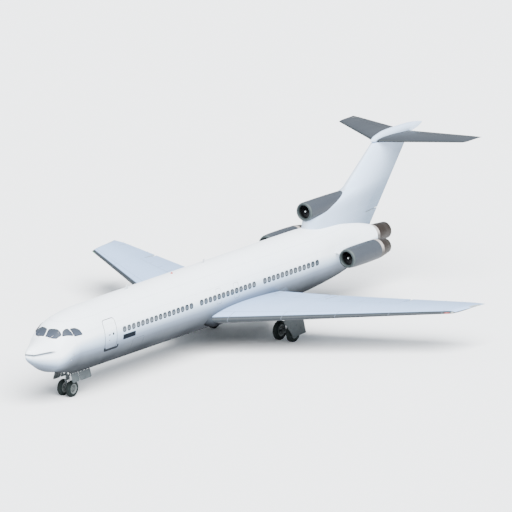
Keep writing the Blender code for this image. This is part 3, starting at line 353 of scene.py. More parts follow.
def several(name, grids, paint, angle=40, ends="caps"):
    """One object of many grids of rings, each shaped (rings, points, 3)."""
    points, faces, start = [], [], 0
    for grid in grids:
        grid = np.asarray(grid, float)
        faces += grid_faces(*grid.shape[:2], start, ends)
        points.append(grid.reshape(-1, 3))
        start += len(points[-1])
    return mesh_object(name, np.concatenate(points), faces, paint, angle)


def fitted(name, grids, paint, body, slot, *nodes, angle=40, ends="caps"):
    """A finished piece made of several grids."""
    return finish_piece(several(name, grids, paint, angle, ends), body, slot, *nodes)


def loft(name, rings, paint, angle=40):
    """A closed solid through rings of equally many points."""
    return several(name, [rings], paint, angle)


def carve(obj, cutters, operation="DIFFERENCE", solver="MANIFOLD", inside=None):
    """Cuts with the cutters. The skin keeps its own normals, and cut faces get the inside paint."""
    whole = obj.data.copy()
    for cutter in cutters:
        change = obj.modifiers.new(cutter.name, "BOOLEAN")
        change.operation, change.object, change.solver = operation, cutter, solver
    bpy.context.view_layer.update()
    evaluated = obj.evaluated_get(bpy.context.evaluated_depsgraph_get())
    cut = bpy.data.meshes.new_from_object(evaluated)
    obj.modifiers.clear()
    obj.data = cut
    for cutter in cutters:
        bpy.data.objects.remove(cutter)
    if inside:
        cut.materials.append(inside.material)
    keep_normals(cut, whole)
    return obj


def keep_normals(mesh, whole):
    """Gives each face that still lies on the whole mesh that mesh's smooth normals."""
    whole.calc_loop_triangles()
    count = len(whole.loop_triangles)
    corners, loops = np.zeros(count * 3, int), np.zeros(count * 3, int)
    whole.loop_triangles.foreach_get("vertices", corners)
    whole.loop_triangles.foreach_get("loops", loops)
    corners, loops = corners.reshape(-1, 3), loops.reshape(-1, 3)
    points = np.zeros(len(whole.vertices) * 3)
    whole.vertices.foreach_get("co", points)
    points = points.reshape(-1, 3)
    normals = np.array([tuple(n.vector) for n in whole.corner_normals])
    tree = BVHTree.FromPolygons(points.tolist(), corners.tolist())

    def normal_at(point, facing):
        spot, flat, triangle, distance = tree.find_nearest(point)
        if spot is None or distance > 1e-3 or flat.dot(facing) < 0.8:
            return None
        a, b, c = points[corners[triangle]]
        u, v, w = b - a, c - a, np.array(spot) - a
        uu, uv, vv, wu, wv = u @ u, u @ v, v @ v, w @ u, w @ v
        size = uu * vv - uv * uv
        if abs(size) < 1e-18:
            return tuple(flat)
        s, t = (vv * wu - uv * wv) / size, (uu * wv - uv * wu) / size
        mixed = (np.array([1 - s - t, s, t])[:, None] * normals[loops[triangle]]).sum(0)
        return tuple(mixed / np.linalg.norm(mixed))

    mesh.shade_smooth()
    found = [None] * len(mesh.loops)
    for polygon in mesh.polygons:
        facing = polygon.normal
        on_skin = normal_at(polygon.center, facing) is not None
        polygon.material_index = 0 if on_skin else len(mesh.materials) - 1
        for loop in polygon.loop_indices:
            at = mesh.vertices[mesh.loops[loop].vertex_index].co
            found[loop] = (normal_at(at, facing) if on_skin else None) or tuple(facing)
    mesh.normals_split_custom_set(found)


def block(name, low, high):
    """A box between two corners, to cut with."""
    x = np.array([low[0], high[0], high[0], low[0]])
    z = np.array([low[2], low[2], high[2], high[2]])
    return loft(name, [np.stack([x, np.full(4, y), z], axis=-1) for y in (low[1], high[1])], None)


FRAME_PITCH, SEAM_GREY, TAIL_STEEL_LENGTH = 0.508, (0.40, 0.43, 0.47), 0.46
LAP_SEAM_HEIGHTS = (5.42, 4.66, 3.22, 2.30)
# Middle height and half height of the skin, for the paint's own scale from the keel to the crown
SKIN_MIDDLE = [
    (0, 3.64), (0.45, 3.62), (1.25, 3.49), (2.1, 3.39), (2.55, 3.55), (3.2, 3.685), (6.2, TUBE_MIDDLE),
    (28.5, TUBE_MIDDLE), (34.7, 3.88), (39.9, 3.89)
]
SKIN_HALF = [
    (0, 0.08), (0.12, 0.26), (0.45, 0.50), (1.25, 0.85), (2.1, 1.20), (2.55, 1.47), (3.2, 1.735),
    (4.2, 1.995), (6.2, TUBE_HALF_HEIGHT), (28.5, TUBE_HALF_HEIGHT), (31, 2.12), (34.7, 1.86),
    (37.5, 1.31), (39.9, 0.66)
]
# How much the underside's painted shade is lifted towards white at the nose, by distance aft
CHIN_LIFT = [(0.6, 0.38), (1.6, 0.31), (2.5, 0.24), (3.2, 0.09), (3.8, 0)]
# Colour against the share of the way from the keel to the crown: white paint above the waist, and painted
# shade below it that darkens to near black at the keel
SKIN_SHADE_COLORS = [
    (0.00, (0.005, 0.006, 0.006)), (0.17, (0.009, 0.010, 0.012)), (0.25, (0.034, 0.040, 0.048)),
    (0.33, (0.060, 0.074, 0.098)), (0.42, (0.130, 0.170, 0.235)), (0.52, (0.390, 0.490, 0.610)),
    (0.64, (0.800, 0.850, 0.890)), (1.00, (0.820, 0.860, 0.900))
]
CREASE_LINE = [(0, 3.77), (0.42, 3.675), (1.18, 3.74), (1.75, 3.775), (1.95, 3.78)]


def skin_paint(name, smile=False):
    """Gloss white over the waist, and painted shade below it that turns grey and then near black at
    the keel, over riveted panel joints that darken with it.

    The painted shade is lifted at the nose and towards the tail. With smile, the crease where the
    radome's upper lobe meets its chin is drawn in as a dark line of painted shade, over a softer
    band of it below. Without it, the last half metre before the tail's nozzle is bare steel, dark
    below as painted shade and pale on top as painted highlight.
    """
    paint = Paint(name, (0.8, 0.84, 0.88), 0.3, coat=0.3, specular=0.0)
    y, z = paint.y, paint.z
    cloud = paint.noise(0.35)
    streak = paint.noise(1.1, 2.0, (1, 0.12, 1))
    # The share from keel to crown sets the painted shade. Streaks ruffle its edge, and it is lifted towards
    # the tail and at the nose.
    height = (z - paint.broken(y, SKIN_MIDDLE)) / paint.broken(y, SKIN_HALF) * 0.5 + 0.5
    aft = paint.ramp(y, 30.0, 35.0)
    fore = paint.broken(y, CHIN_LIFT).math("MAXIMUM", 0.0)
    height = height + (streak - 0.5) * 0.05 + aft * 0.06
    height = height + fore * (1 - height)
    tone = paint.scale(height, SKIN_SHADE_COLORS)
    tone = paint.blend(cloud * 0.10, tone, (0.55, 0.60, 0.66))
    hoop = paint.lines(y, FRAME_PITCH * 6, 3.4, 0.012)
    seam = hoop
    for place in LAP_SEAM_HEIGHTS:
        seam = seam | paint.line(z, place, 0.012)
    rivet = paint.lines(y, FRAME_PITCH, 3.4 + FRAME_PITCH / 2, 0.02)
    dots = paint.lines(z, 0.06, 0, 0.024)
    # The joint lines follow the painted shade: near black low down, grey higher up.
    finish = paint.blend(seam * 0.35, tone, paint.blend(height, (0.02, 0.02, 0.02), SEAM_GREY))
    relief = 1 - (seam | rivet * dots * 0.25)
    if not smile:
        # The tail's bare steel band: dark below as painted shade with a faint heat tint, and pale on top as
        # painted highlight.
        burnt_and_shade = paint.blend(paint.ramp(height, 0.30, 0.55), (0.02, 0.018, 0.016), (0.07, 0.066, 0.062))
        steel = paint.blend(paint.ramp(height, 0.60, 0.80), burnt_and_shade, (0.32, 0.29, 0.275))
        steel_start = AFT_END - TAIL_STEEL_LENGTH
        finish = paint.blend(paint.ramp(y, steel_start, steel_start + 0.04), finish, steel)
    if smile:
        # The crease is drawn as a near black line of painted shade, and the chin under it gets a softer
        # band of painted shade.
        fade = paint.ramp(y, 1.95, 1.45)
        fold = paint.broken(y, CREASE_LINE)
        crease = paint.line(z - fold, 0.0, 0.11) * fade
        finish = paint.blend(crease * 0.95, finish, (0.022, 0.027, 0.034))
        chin = paint.line(z - fold, -0.05, 0.12) * fade
        finish = paint.blend(chin * 0.45, finish, (0.16, 0.20, 0.25))
        relief = relief - crease * 4
    paint.color(finish)
    paint.roughness(0.30 + cloud * 0.08 + paint.ramp(height, 0.4, 0.2) * 0.2)
    paint.tree.links.new((paint.ramp(height, 0.15, 0.5) * 0.35).socket, paint.shader.inputs["Coat Weight"])
    paint.bump(relief, 0.004)
    return paint


skin = skin_paint("skin_white_paint")
nose_skin = skin_paint("nose_white_paint", smile=True)

bay_paint = Paint("bay_primer", (0.42, 0.44, 0.42), 0.6)
grime = bay_paint.noise(3.0, 5.0)
rib = bay_paint.lines(bay_paint.y, 0.32, 0, 0.05)
bay_paint.color(bay_paint.blend(grime, (0.16, 0.17, 0.17), (0.40, 0.42, 0.40)))
bay_paint.bump(rib, 0.03)

radome_steps = RADOME_END * (1 - np.cos(np.linspace(0, math.pi / 2, 26)))
radome = loft("nose_radome_skin", creased(fuselage_rings(radome_steps, NOSE_SIDES)), nose_skin)
finish_piece(radome, "airframe", "white_paint", "nose_radome")

forward_steps = np.concatenate(
    [np.linspace(RADOME_END + PIECE_GAP, 6.2, 54), np.linspace(6.7, FORWARD_END, 14)]
)
forward = loft("fuselage_forward_skin", creased(fuselage_rings(forward_steps, NOSE_SIDES)), nose_skin)
BAY_LOW, BAY_HIGH = (-0.67, 4.12, 1.0), (0.67, 6.42, 2.35)
carve(forward, [block("nose_gear_bay_cut", BAY_LOW, BAY_HIGH)], inside=bay_paint)
finish_piece(forward, "airframe", "white_paint", "fuselage_forward")

center_steps = np.linspace(FORWARD_END + PIECE_GAP, CENTER_END, 14)
center = loft("fuselage_center_skin", fuselage_rings(center_steps), skin)
finish_piece(center, "airframe", "white_paint", "fuselage_center")

aft_steps = np.concatenate([[CENTER_END + PIECE_GAP, 28.8], np.linspace(29.5, AFT_END, 46)])
aft = loft("fuselage_aft_skin", fuselage_rings(aft_steps), skin)
STAIR_START, STAIR_END, STAIR_HALF_WIDTH, WELL_ROOF = 33.95, 37.90, 0.42, 3.15
MOVING_GAP = 0.012
well_low = (-STAIR_HALF_WIDTH - MOVING_GAP, STAIR_START - MOVING_GAP, 1.0)
well_high = (STAIR_HALF_WIDTH + MOVING_GAP, STAIR_END + 2 * MOVING_GAP, WELL_ROOF)
carve(aft, [block("stair_well_cut", well_low, well_high)], inside=bay_paint)
finish_piece(aft, "airframe", "white_paint", "fuselage_aft")

# Belly fairing: a glass fibre trough under the centre fuselage, bolted along both its edges.
# It closes over the wing box and the wheel wells, whose doors meet along its floor.

COVE_UP, COVE_DOWN = 0.26, 0.30
# Distance from the nose, half width, bottom, top of its sides
BELLY_STATIONS = np.array([
    (18.35, 1.45, 2.30, 2.56), (18.75, 1.96, 2.07, 2.48), (20.0, 2.00, 2.09, 2.62),
    (23.4, 2.00, 1.46, 2.72), (26.0, 2.00, 1.44, 2.72), (27.2, 2.00, 1.44, 2.85),
    (28.3, 1.45, 1.65, 2.50)
])


def belly_rings(y):
    """Rounded U sections: a cove from the fuselage side, upright sides, corner arcs and a flat floor.

    The cove is a second degree curve that starts just inside the skin, and each corner a quarter circle.
    """
    half_width, bottom, top = (value[:, None] for value in stations_at(BELLY_STATIONS, y))
    corner = np.minimum(0.55, 0.9 * (top - COVE_DOWN - bottom))
    turn = np.linspace(0, math.pi / 2, 14)
    corner_x = half_width - corner + corner * np.cos(turn)
    corner_z = bottom + corner - corner * np.sin(turn)
    cove = np.linspace(0, 1, 10)[:-1]
    tube_x = TUBE_HALF_WIDTH * np.sqrt(1 - ((top + COVE_UP - TUBE_MIDDLE) / TUBE_HALF_HEIGHT) ** 2)
    inner = np.minimum(half_width - COVE_UP, tube_x - 0.04)
    cove_x = inner * (1 - cove) ** 2 + 2 * cove * (1 - cove) * (half_width - 0.07) + cove**2 * half_width
    cove_z = (top + COVE_UP) * (1 - cove) ** 2 + 2 * cove * (1 - cove) * (top + 0.02)
    cove_z = cove_z + cove**2 * (top - COVE_DOWN)
    x, z = np.concatenate([cove_x, corner_x], axis=1), np.concatenate([cove_z, corner_z], axis=1)
    x, z = np.concatenate([x, -x[:, ::-1]], axis=1), np.concatenate([z, z[:, ::-1]], axis=1)
    return points_at(x, y[:, None], z)


belly_paint = Paint("belly_fairing_paint", (0.5, 0.55, 0.6), 0.4, specular=0.0)
cloud = belly_paint.noise(0.8, 4.0, (1, 0.3, 1))
height = (belly_paint.z - TUBE_MIDDLE) / TUBE_HALF_HEIGHT * 0.5 + 0.5 + (cloud - 0.5) * 0.05
under = belly_paint.ramp(belly_paint.z, 1.75, 1.5)
well_edge = belly_paint.line(abs(belly_paint.x), 1.05, 0.03) | belly_paint.line(belly_paint.x, 0.0, 0.03)
well_ends = belly_paint.line(belly_paint.y, 23.9, 0.03) | belly_paint.line(belly_paint.y, 26.4, 0.03)
screw = belly_paint.lines(belly_paint.y, 1.3, 0, 0.014)
belly_seam = (well_edge | well_ends) * under | screw * 0.5
# The fairing takes the skin's painted shade by height, near black along its floor.
belly_tone = belly_paint.scale(height, SKIN_SHADE_COLORS)
belly_paint.color(belly_paint.blend(belly_seam * 0.6, belly_tone, (0.012, 0.013, 0.014)))
belly_paint.bump(1 - belly_seam, 0.006)

belly_y = np.concatenate(
    [np.linspace(18.35, 19.5, 20), np.linspace(20, 26.9, 12), np.linspace(27.2, 28.3, 14)]
)
belly = loft("belly_fairing", belly_rings(belly_y), belly_paint)
finish_piece(belly, "airframe", "white_paint")

# Wings: aluminium boxes with slatted leading edges, which hold the fuel and carry the main gear.
# Flaps and ailerons hang on hinges behind the rear spar, in coves that follow their round noses.

WING_ROOT_X, WING_KINK_X, WING_TIP_X, TIP_RAKE = 1.45, 5.78, 14.77, 0.47
LEADING_EDGE = [(1.87, 18.80), (WING_TIP_X, 28.06)]
TRAILING_EDGE = [(1.87, 26.50), (WING_KINK_X, 27.53), (15.24, 31.50)]
LEADING_EDGE_Z = [(1.87, 2.48), (WING_TIP_X, 3.00)]
TRAILING_EDGE_Z = [(1.87, 2.93), (WING_KINK_X, 3.00), (WING_TIP_X, 3.03)]
WING_THICKNESS = [(1.87, 0.120), (WING_KINK_X, 0.112), (WING_TIP_X, 0.090)]
EDGE_HALF, NOSE_SHARE, REACH_PAST = 0.012, 0.985, 0.6
SECTION = (1 - np.cos(np.linspace(0, math.pi, 27))) / 2


def along(knots, s):
    """The broken line through the knots at s, with its first and last stretches carried on."""
    at, height = np.array(knots, float).T
    i = np.clip(np.searchsorted(at, s) - 1, 0, len(at) - 2)
    return height[i] + (s - at[i]) * (height[i + 1] - height[i]) / (at[i + 1] - at[i])


class Panel:
    """A flying surface between two edges, for a place s along the span and a share c of the chord.

    y = lead + chord c, and z = the chord line's height, plus or minus thickness chord h(c), with
    h(c) = 5 (.2969 sqrt c - .1260 c - .3516 c2 + .2843 c3 - .1036 c4).
    """

    def __init__(self, lead, trail, lead_z, trail_z, thickness, side):
        self.lead, self.trail, self.lead_z, self.trail_z = lead, trail, lead_z, trail_z
        self.thickness, self.side = thickness, side

    def chord(self, s):
        return along(self.trail, s) - along(self.lead, s)

    def middle(self, s, c):
        z = along(self.lead_z, s)
        return along(self.lead, s) + self.chord(s) * c, z + (along(self.trail_z, s) - z) * c

    def half(self, s, c):
        h = 0.2969 * np.sqrt(c) - 0.1260 * c - 0.3516 * c**2 + 0.2843 * c**3 - 0.1036 * c**4
        return np.maximum(5 * h * along(self.thickness, s) * self.chord(s), EDGE_HALF * (c > 0.5))

    def put(self, s, y, z):
        return points_at(self.side * s, y, z)

    def skin(self, s, c, sign):
        """A point of the upper (sign 1) or lower (sign -1) skin."""
        y, z = self.middle(s, c)
        return self.put(s, y, z + sign * self.half(s, c))

    def rings(self, spans, tip, rake, blunt=0.5):
        """Sections from the trailing edge over the top to the nose and back, out to a raked round tip.

        In the last stretch to the tip the section moves outboard by rake c, and thins like a circle.
        """
        s = np.asarray(spans, float)[:, None]
        c = np.concatenate([SECTION[::-1], SECTION[1:]])
        sign = np.concatenate([np.ones(len(SECTION)), -np.ones(len(SECTION) - 1)])
        outer = np.clip(1 - (tip - s) / 0.6, 0, 1)
        close = np.sqrt(np.maximum(1 - np.clip(1 - (tip - s) / blunt, 0, 0.995) ** 4, 0))
        y, z = self.middle(s, c)
        return self.put(s + rake * c * outer, y, z + sign * self.half(s, c) * close)

    def secant(self, share, inner, outer):
        """One over the cosine of the sweep of the line at that share of the chord."""
        dy = self.middle(outer, share)[0] - self.middle(inner, share)[0]
        return math.hypot(dy, outer - inner) / (outer - inner)

    def control(self, name, share, inner, outer, swing, paint):
        """A half round nose about the hinge line, then the section's own sides to the edge.

        The outer end leans inboard by chord (1 - share) sin(sweep) cos(sweep) (1 - cos(swing)).
        """
        secant = self.secant(share, inner, outer)
        bend = self.chord(outer) * (1 - share) / secant * math.sqrt(1 - 1 / secant**2)
        s = np.linspace(inner, outer, 14)[:, None]
        lean = bend * (1 - math.cos(swing)) * (s - inner) / (outer - inner)
        u = np.linspace(1, 0, 11)[:-1]
        c = share + (1 - share) * u
        y, z = self.middle(s - lean * u, c)
        half = np.maximum(self.half(s, c) * NOSE_SHARE, EDGE_HALF)
        upper, lower = self.put(s - lean * u, y, z + half), self.put(s - lean * u, y, z - half)
        turn = np.linspace(math.pi / 2, math.pi * 1.5, 19)
        y, z = self.middle(s, share)
        radius = self.half(s, share) * NOSE_SHARE
        nose = self.put(s, y + radius * secant * np.cos(turn), z + radius * np.sin(turn))
        return loft(name, np.concatenate([upper, nose, lower[:, ::-1]], axis=1), paint, 30)

    def room(self, name, share, inner, outer, lip=0.0):
        """What the carrier loses: the nose's arc, a gap wider, open up, down and aft of it.

        Under the nose the arc ends early by the lip's angle, so a lowered flap clears the edge.
        """
        secant = self.secant(share, inner, outer)
        s = np.array([[inner], [outer]])
        turn = np.linspace(math.pi / 2, math.pi * 1.5 - lip, 19)
        y, z = self.middle(s, share)
        end_y, end_z = self.middle(s, 1.0)
        radius = self.half(s, share) * NOSE_SHARE + MOVING_GAP
        arc_y, arc_z = y + radius * secant * np.cos(turn), z + radius * np.sin(turn)
        over = [self.put(s, end_y + REACH_PAST, end_z + REACH_PAST), self.put(s, y, z + REACH_PAST)]
        under = [
            self.put(s, arc_y[:, -1:], z - REACH_PAST), self.put(s, end_y + REACH_PAST, end_z - REACH_PAST)
        ]
        return loft(name, np.concatenate([*over, self.put(s, arc_y, arc_z), *under], axis=1), None)


def panel_paint(name, lead, trail, lead_z, trail_z, upper, lower, edge, edge_width):
    """Wing finish and its chord share, span place and underside, for the seams that are added to it."""
    paint = Paint(name, upper, 0.42, specular=0.15)
    span = abs(paint.x)
    front = paint.broken(span, lead)
    share = (paint.y - front) / (paint.broken(span, trail) - front)
    low, high = paint.broken(span, lead_z), paint.broken(span, trail_z)
    # Painted shade: the underside is painted darker than the top.
    under = paint.ramp(low + (high - low) * share - paint.z, -0.006, 0.006)
    wash = paint.noise(0.9, 4.0, (1, 0.25, 1))
    darker = tuple(v * 0.74 for v in upper)
    tone = paint.blend(wash * 0.4 + paint.ramp(share, 0.25, 1.0) * 0.6, upper, darker)
    tone = paint.blend(under, tone, paint.blend(wash, tuple(v * 0.7 for v in lower), lower))
    # The leading edge band: bare metal, darkened as painted shade.
    metal = paint.ramp(paint.y - front, edge_width * 1.25, edge_width * 0.75)
    tone = paint.blend(metal, tone, edge)
    paint.roughness(0.40 + wash * 0.14)
    return paint, tone, share, span, under


def between(value, low, high):
    """1 between low and high."""
    return value.math("GREATER_THAN", low) * value.math("LESS_THAN", high)


# WING_LOWER and WING_EDGE are dark as painted shade: the underside, and the leading edge band over its bare
# metal slats.
WING_UPPER, WING_LOWER = (0.32, 0.45, 0.67), (0.065, 0.076, 0.092)
WING_EDGE, WING_EDGE_WIDTH, PANEL_SEAM = (0.024, 0.029, 0.034), 0.22, (0.11, 0.13, 0.17)
SLAT_SHARE, SPOILER_SHARES, LIFT_DUMPER_SHARES = 0.125, (0.62, 0.735), (0.735, 0.85)
wing_paint, wing_tone, chord_share, wing_span, wing_under = panel_paint(
    "wing_grey_paint", LEADING_EDGE, TRAILING_EDGE, LEADING_EDGE_Z, TRAILING_EDGE_Z, WING_UPPER,
    WING_LOWER, WING_EDGE, WING_EDGE_WIDTH
)
slat = wing_paint.line(chord_share, SLAT_SHARE, 0.0045)
slat_ends = between(chord_share, 0.0, SLAT_SHARE) * wing_paint.lines(wing_span, 2.9, 2.6, 0.03)
outboard = between(wing_span, 5.95, 10.60)
spoiler = (
    between(chord_share, *SPOILER_SHARES)
    * outboard
    * wing_paint.lines(wing_span, 1.16, 5.95, 0.035)
)
spoiler_front = wing_paint.line(chord_share, SPOILER_SHARES[0], 0.006) * outboard
inboard = between(wing_span, 2.35, 5.45)
lift_dumper_ends = wing_paint.lines(wing_span, 1.55, 2.35, 0.035)
lift_dumper = between(chord_share, *LIFT_DUMPER_SHARES) * inboard * lift_dumper_ends
lift_dumper_front = wing_paint.line(chord_share, LIFT_DUMPER_SHARES[0], 0.005) * inboard
spars = wing_paint.line(chord_share, 0.20, 0.003) | wing_paint.line(chord_share, 0.60, 0.003)
ribs = wing_paint.lines(wing_span, 0.92, 2.2, 0.014) * 0.5
brakes = spoiler | spoiler_front | lift_dumper | lift_dumper_front
wing_seams = slat | slat_ends | brakes | (spars | ribs) * 0.35
wing_paint.color(wing_paint.blend(wing_seams * 0.75, wing_tone, PANEL_SEAM))
wing_paint.bump(1 - wing_seams, 0.006)

AILERON_SHARE, AILERON_SPAN = 0.76, (10.75, 13.95)
FLAP_INBOARD_SHARE, FLAP_INBOARD = 0.86, (2.16, 5.40)
FLAP_OUTBOARD_SHARE, FLAP_OUTBOARD = 0.74, (5.95, 10.55)
FLAP_END_GAP, AILERON_END_GAP = 0.06, 0.035
AILERON_SWING, FLAP_SWING = math.radians(20), math.radians(40)
wing_panels = {}
SIDES = ((1, "left"), (-1, "right"))
for side, word in SIDES:
    panel = Panel(LEADING_EDGE, TRAILING_EDGE, LEADING_EDGE_Z, TRAILING_EDGE_Z, WING_THICKNESS, side)
    wing_panels[word] = panel
    tip_steps = WING_TIP_X - 0.5 * np.cos(np.linspace(0, math.pi / 2, 9))
    spans = np.concatenate(
        [np.linspace(WING_ROOT_X, WING_KINK_X, 12), np.linspace(6.2, 14.17, 24), tip_steps]
    )
    wing = loft(f"wing_{word}_skin", panel.rings(spans, WING_TIP_X, TIP_RAKE), wing_paint)
    surfaces = [
        ("aileron", AILERON_SHARE, AILERON_SPAN, AILERON_END_GAP, AILERON_SWING),
        ("flap_inboard", FLAP_INBOARD_SHARE, FLAP_INBOARD, FLAP_END_GAP, FLAP_SWING),
        ("flap_outboard", FLAP_OUTBOARD_SHARE, FLAP_OUTBOARD, FLAP_END_GAP, FLAP_SWING)
    ]
    rooms = []
    for name, share, (inner, outer), end_gap, swing in surfaces:
        surface = panel.control(f"{name}_{word}_skin", share, inner, outer, swing, wing_paint)
        finish_piece(surface, f"{name}_{word}", "wing_paint", f"{name}_{word}")
        lip = swing if name.startswith("flap") else 0.0
        rooms.append(panel.room(f"{name}_{word}_cove", share, inner - end_gap, outer + end_gap, lip))
    carve(wing, rooms, inside=bay_paint)
    finish_piece(wing, "airframe", "wing_paint", f"wing_{word}")

# Fin: a box of aluminium over the tail, with the rudder on a hinge line down its back.
# Low down it is as wide as the duct of the centre engine, and its head carries the tailplane.

FIN_TOP = 10.20
# Height, leading edge, trailing edge, half thickness, length of the round nose
FIN_LEVELS = np.array([
    (4.30, 31.65, 39.26, 0.60, 1.3), (6.45, 31.95, 41.07, 0.60, 1.3), (7.04, 33.05, 41.56, 0.60, 1.5),
    (7.68, 36.37, 42.10, 0.40, 1.6), (FIN_TOP, 39.76, 44.21, 0.25, 1.2)
])


def fin_line(column, level):
    """One column of the fin's levels at a height: the mean of the broken line at three near heights."""
    knots = FIN_LEVELS[:, (0, column)]
    return (along(knots, level - 0.1) + along(knots, level) + along(knots, level + 0.1)) / 3


def fin_half(level, y):
    """Half thickness at y: half sqrt(1 - (1 - u)2) along the nose, then half (1 - v^1.7) to the edge."""
    lead, trail, half, nose = (fin_line(k, level) for k in (1, 2, 3, 4))
    u = np.clip((y - lead) / nose, 0, 1)
    v = np.clip((y - lead - nose) / (trail - lead - nose), 0, 1)
    return np.maximum(half * np.sqrt(1 - (1 - u) ** 2) * (1 - v**1.7), 0.015 * (v > 0.5))


def fin_rings(levels):
    z = np.asarray(levels, float)[:, None]
    lead, trail, nose = (fin_line(k, z) for k in (1, 2, 4))
    front = lead + nose * (1 - np.cos(np.linspace(0, math.pi / 2, 12)))
    back = lead + nose + (trail - lead - nose) * np.linspace(0, 1, 20)[1:]
    y = np.concatenate([front, back], axis=1)
    x = fin_half(z, y)
    port = points_at(x, y, z)
    return np.concatenate([port, port[:, :0:-1] * (-1, 1, 1)], axis=1)


FIN_WHITE, FIN_SHADE = (0.50, 0.62, 0.80), (0.13, 0.18, 0.25)
fin_paint = Paint("fin_white_paint", FIN_WHITE, 0.34, coat=0.1, specular=0.1)
fin_cloud = fin_paint.noise(0.7)
fin_lead = fin_paint.broken(fin_paint.z, [tuple(row) for row in FIN_LEVELS[:, (0, 1)]])
fin_trail = fin_paint.broken(fin_paint.z, [tuple(row) for row in FIN_LEVELS[:, (0, 2)]])
fin_share = (fin_paint.y - fin_lead) / (fin_trail - fin_lead)
fin_rows = fin_paint.lines(fin_paint.z, 0.55, 6.1, 0.012)
fin_spars = fin_paint.line(fin_share, 0.16, 0.004) | fin_paint.line(fin_share, 0.62, 0.004)
fin_seams = (fin_rows | fin_spars) * 0.5
# fin_low and fin_shadow are painted shade: the fin darkens towards its trailing edge and towards its foot,
# with some random tone.
fin_low = fin_paint.ramp(fin_paint.z, 8.6, 6.2)
fin_shadow = fin_paint.ramp(fin_share, 0.12, 1.05) * 0.85 + fin_low * 0.22 + (fin_cloud - 0.5) * 0.10
fin_tone = fin_paint.blend(fin_shadow, FIN_WHITE, FIN_SHADE)
fin_tone = fin_paint.blend(fin_paint.ramp(fin_share, 0.02, 0.0) * 0.6, fin_tone, (0.35, 0.38, 0.41))
fin_paint.color(fin_paint.blend(fin_seams * 0.5, fin_tone, SEAM_GREY))
fin_paint.roughness(0.26 + fin_cloud * 0.12)
fin_paint.bump(1 - fin_seams, 0.005)

RUDDER_BOTTOM, RUDDER_TOP, RUDDER_END_GAP = 5.75, 9.75, 0.09


def rudder_hinge(level):
    lead, trail = 36.4 + (level - 7.68) * 1.345, along(FIN_LEVELS[:, (0, 2)], level)
    return trail - 0.24 * (trail - lead)


def rudder_rings(bottom, top, slack=0.0):
    """A half round nose about the hinge line and sides to the edge, or with slack the room round it."""
    z = np.linspace(bottom, top, 2 if slack else 12)[:, None]
    y, trail = rudder_hinge(z), along(FIN_LEVELS[:, (0, 2)], z)
    secant = math.hypot(rudder_hinge(top) - rudder_hinge(bottom), top - bottom) / (top - bottom)
    radius = fin_half(z, y) * 0.97 + slack
    turn = np.linspace(math.pi / 2, math.pi * 1.5, 17)
    nose_x, nose_y = radius * np.sin(turn), y + radius * secant * np.cos(turn)
    if slack:
        side_x = np.broadcast_to([REACH_PAST, REACH_PAST], (len(z), 2))
        side_y = np.concatenate([trail + REACH_PAST, y], axis=1)
    else:
        u = np.linspace(1, 0, 9)[:-1]
        side_y = y + (trail - y) * u
        side_x = np.maximum(fin_half(z, side_y) * 0.97, 0.015)
    x = np.concatenate([side_x, nose_x, -side_x[:, ::-1]], axis=1)
    y = np.concatenate([side_y, nose_y, side_y[:, ::-1]], axis=1)
    return points_at(x, y, z)


fin_levels = np.concatenate(
    [[4.45, 4.65, 4.9, 5.3], np.linspace(5.7, 8.3, 27), np.linspace(8.5, FIN_TOP, 10)]
)
fin = loft("fin_skin", fin_rings(fin_levels), fin_paint)
rudder = loft("rudder_skin", rudder_rings(RUDDER_BOTTOM - 0.04, RUDDER_TOP), fin_paint, 30)
finish_piece(rudder, "rudder", "white_paint", "rudder")
rudder_room = rudder_rings(RUDDER_BOTTOM - RUDDER_END_GAP, RUDDER_TOP + RUDDER_END_GAP, MOVING_GAP)

# Centre intake: a round duct over the fuselage, whose mouth is lipped in bare metal.
# It bends down inside the fin's foot to the engine in the tail, and fairs away into the fin.

MOUTH_Y, MOUTH_Z, DUCT_SIDES = 31.82, 7.04, 96
# Distance aft, radius, height of the middle
DUCT_STATIONS = np.array([
    (31.82, 0.515, 7.04), (31.84, 0.575, 7.04), (31.90, 0.625, 7.04), (32.05, 0.648, 7.04),
    (33.40, 0.642, 7.045), (34.60, 0.560, 7.125), (35.60, 0.430, 7.245), (36.60, 0.250, 7.400)
])
# Radius and distance behind the mouth, along the throat of each intake
THROAT = np.array([(0.515, 0.0), (0.475, 0.04), (0.455, 0.16), (0.465, 0.34), (0.502, 0.72)])
round_turn = round_angles(DUCT_SIDES)


def turned(center, y, radius):
    """Rings of a body of revolution about the way aft through the center."""
    y, radius = np.asarray(y, float)[:, None], np.asarray(radius, float)[:, None]
    x, z = radius * np.cos(round_turn), radius * np.sin(round_turn)
    return points_at(x, y, z) + np.asarray(center, float)


NACELLE_COLOR, JET_BAND = (0.040, 0.046, 0.056), (0.30, 0.27, 0.255)


def distance(across, up):
    """The length of the hypotenuse over two wires."""
    return (across * across + up * up).math("SQRT")


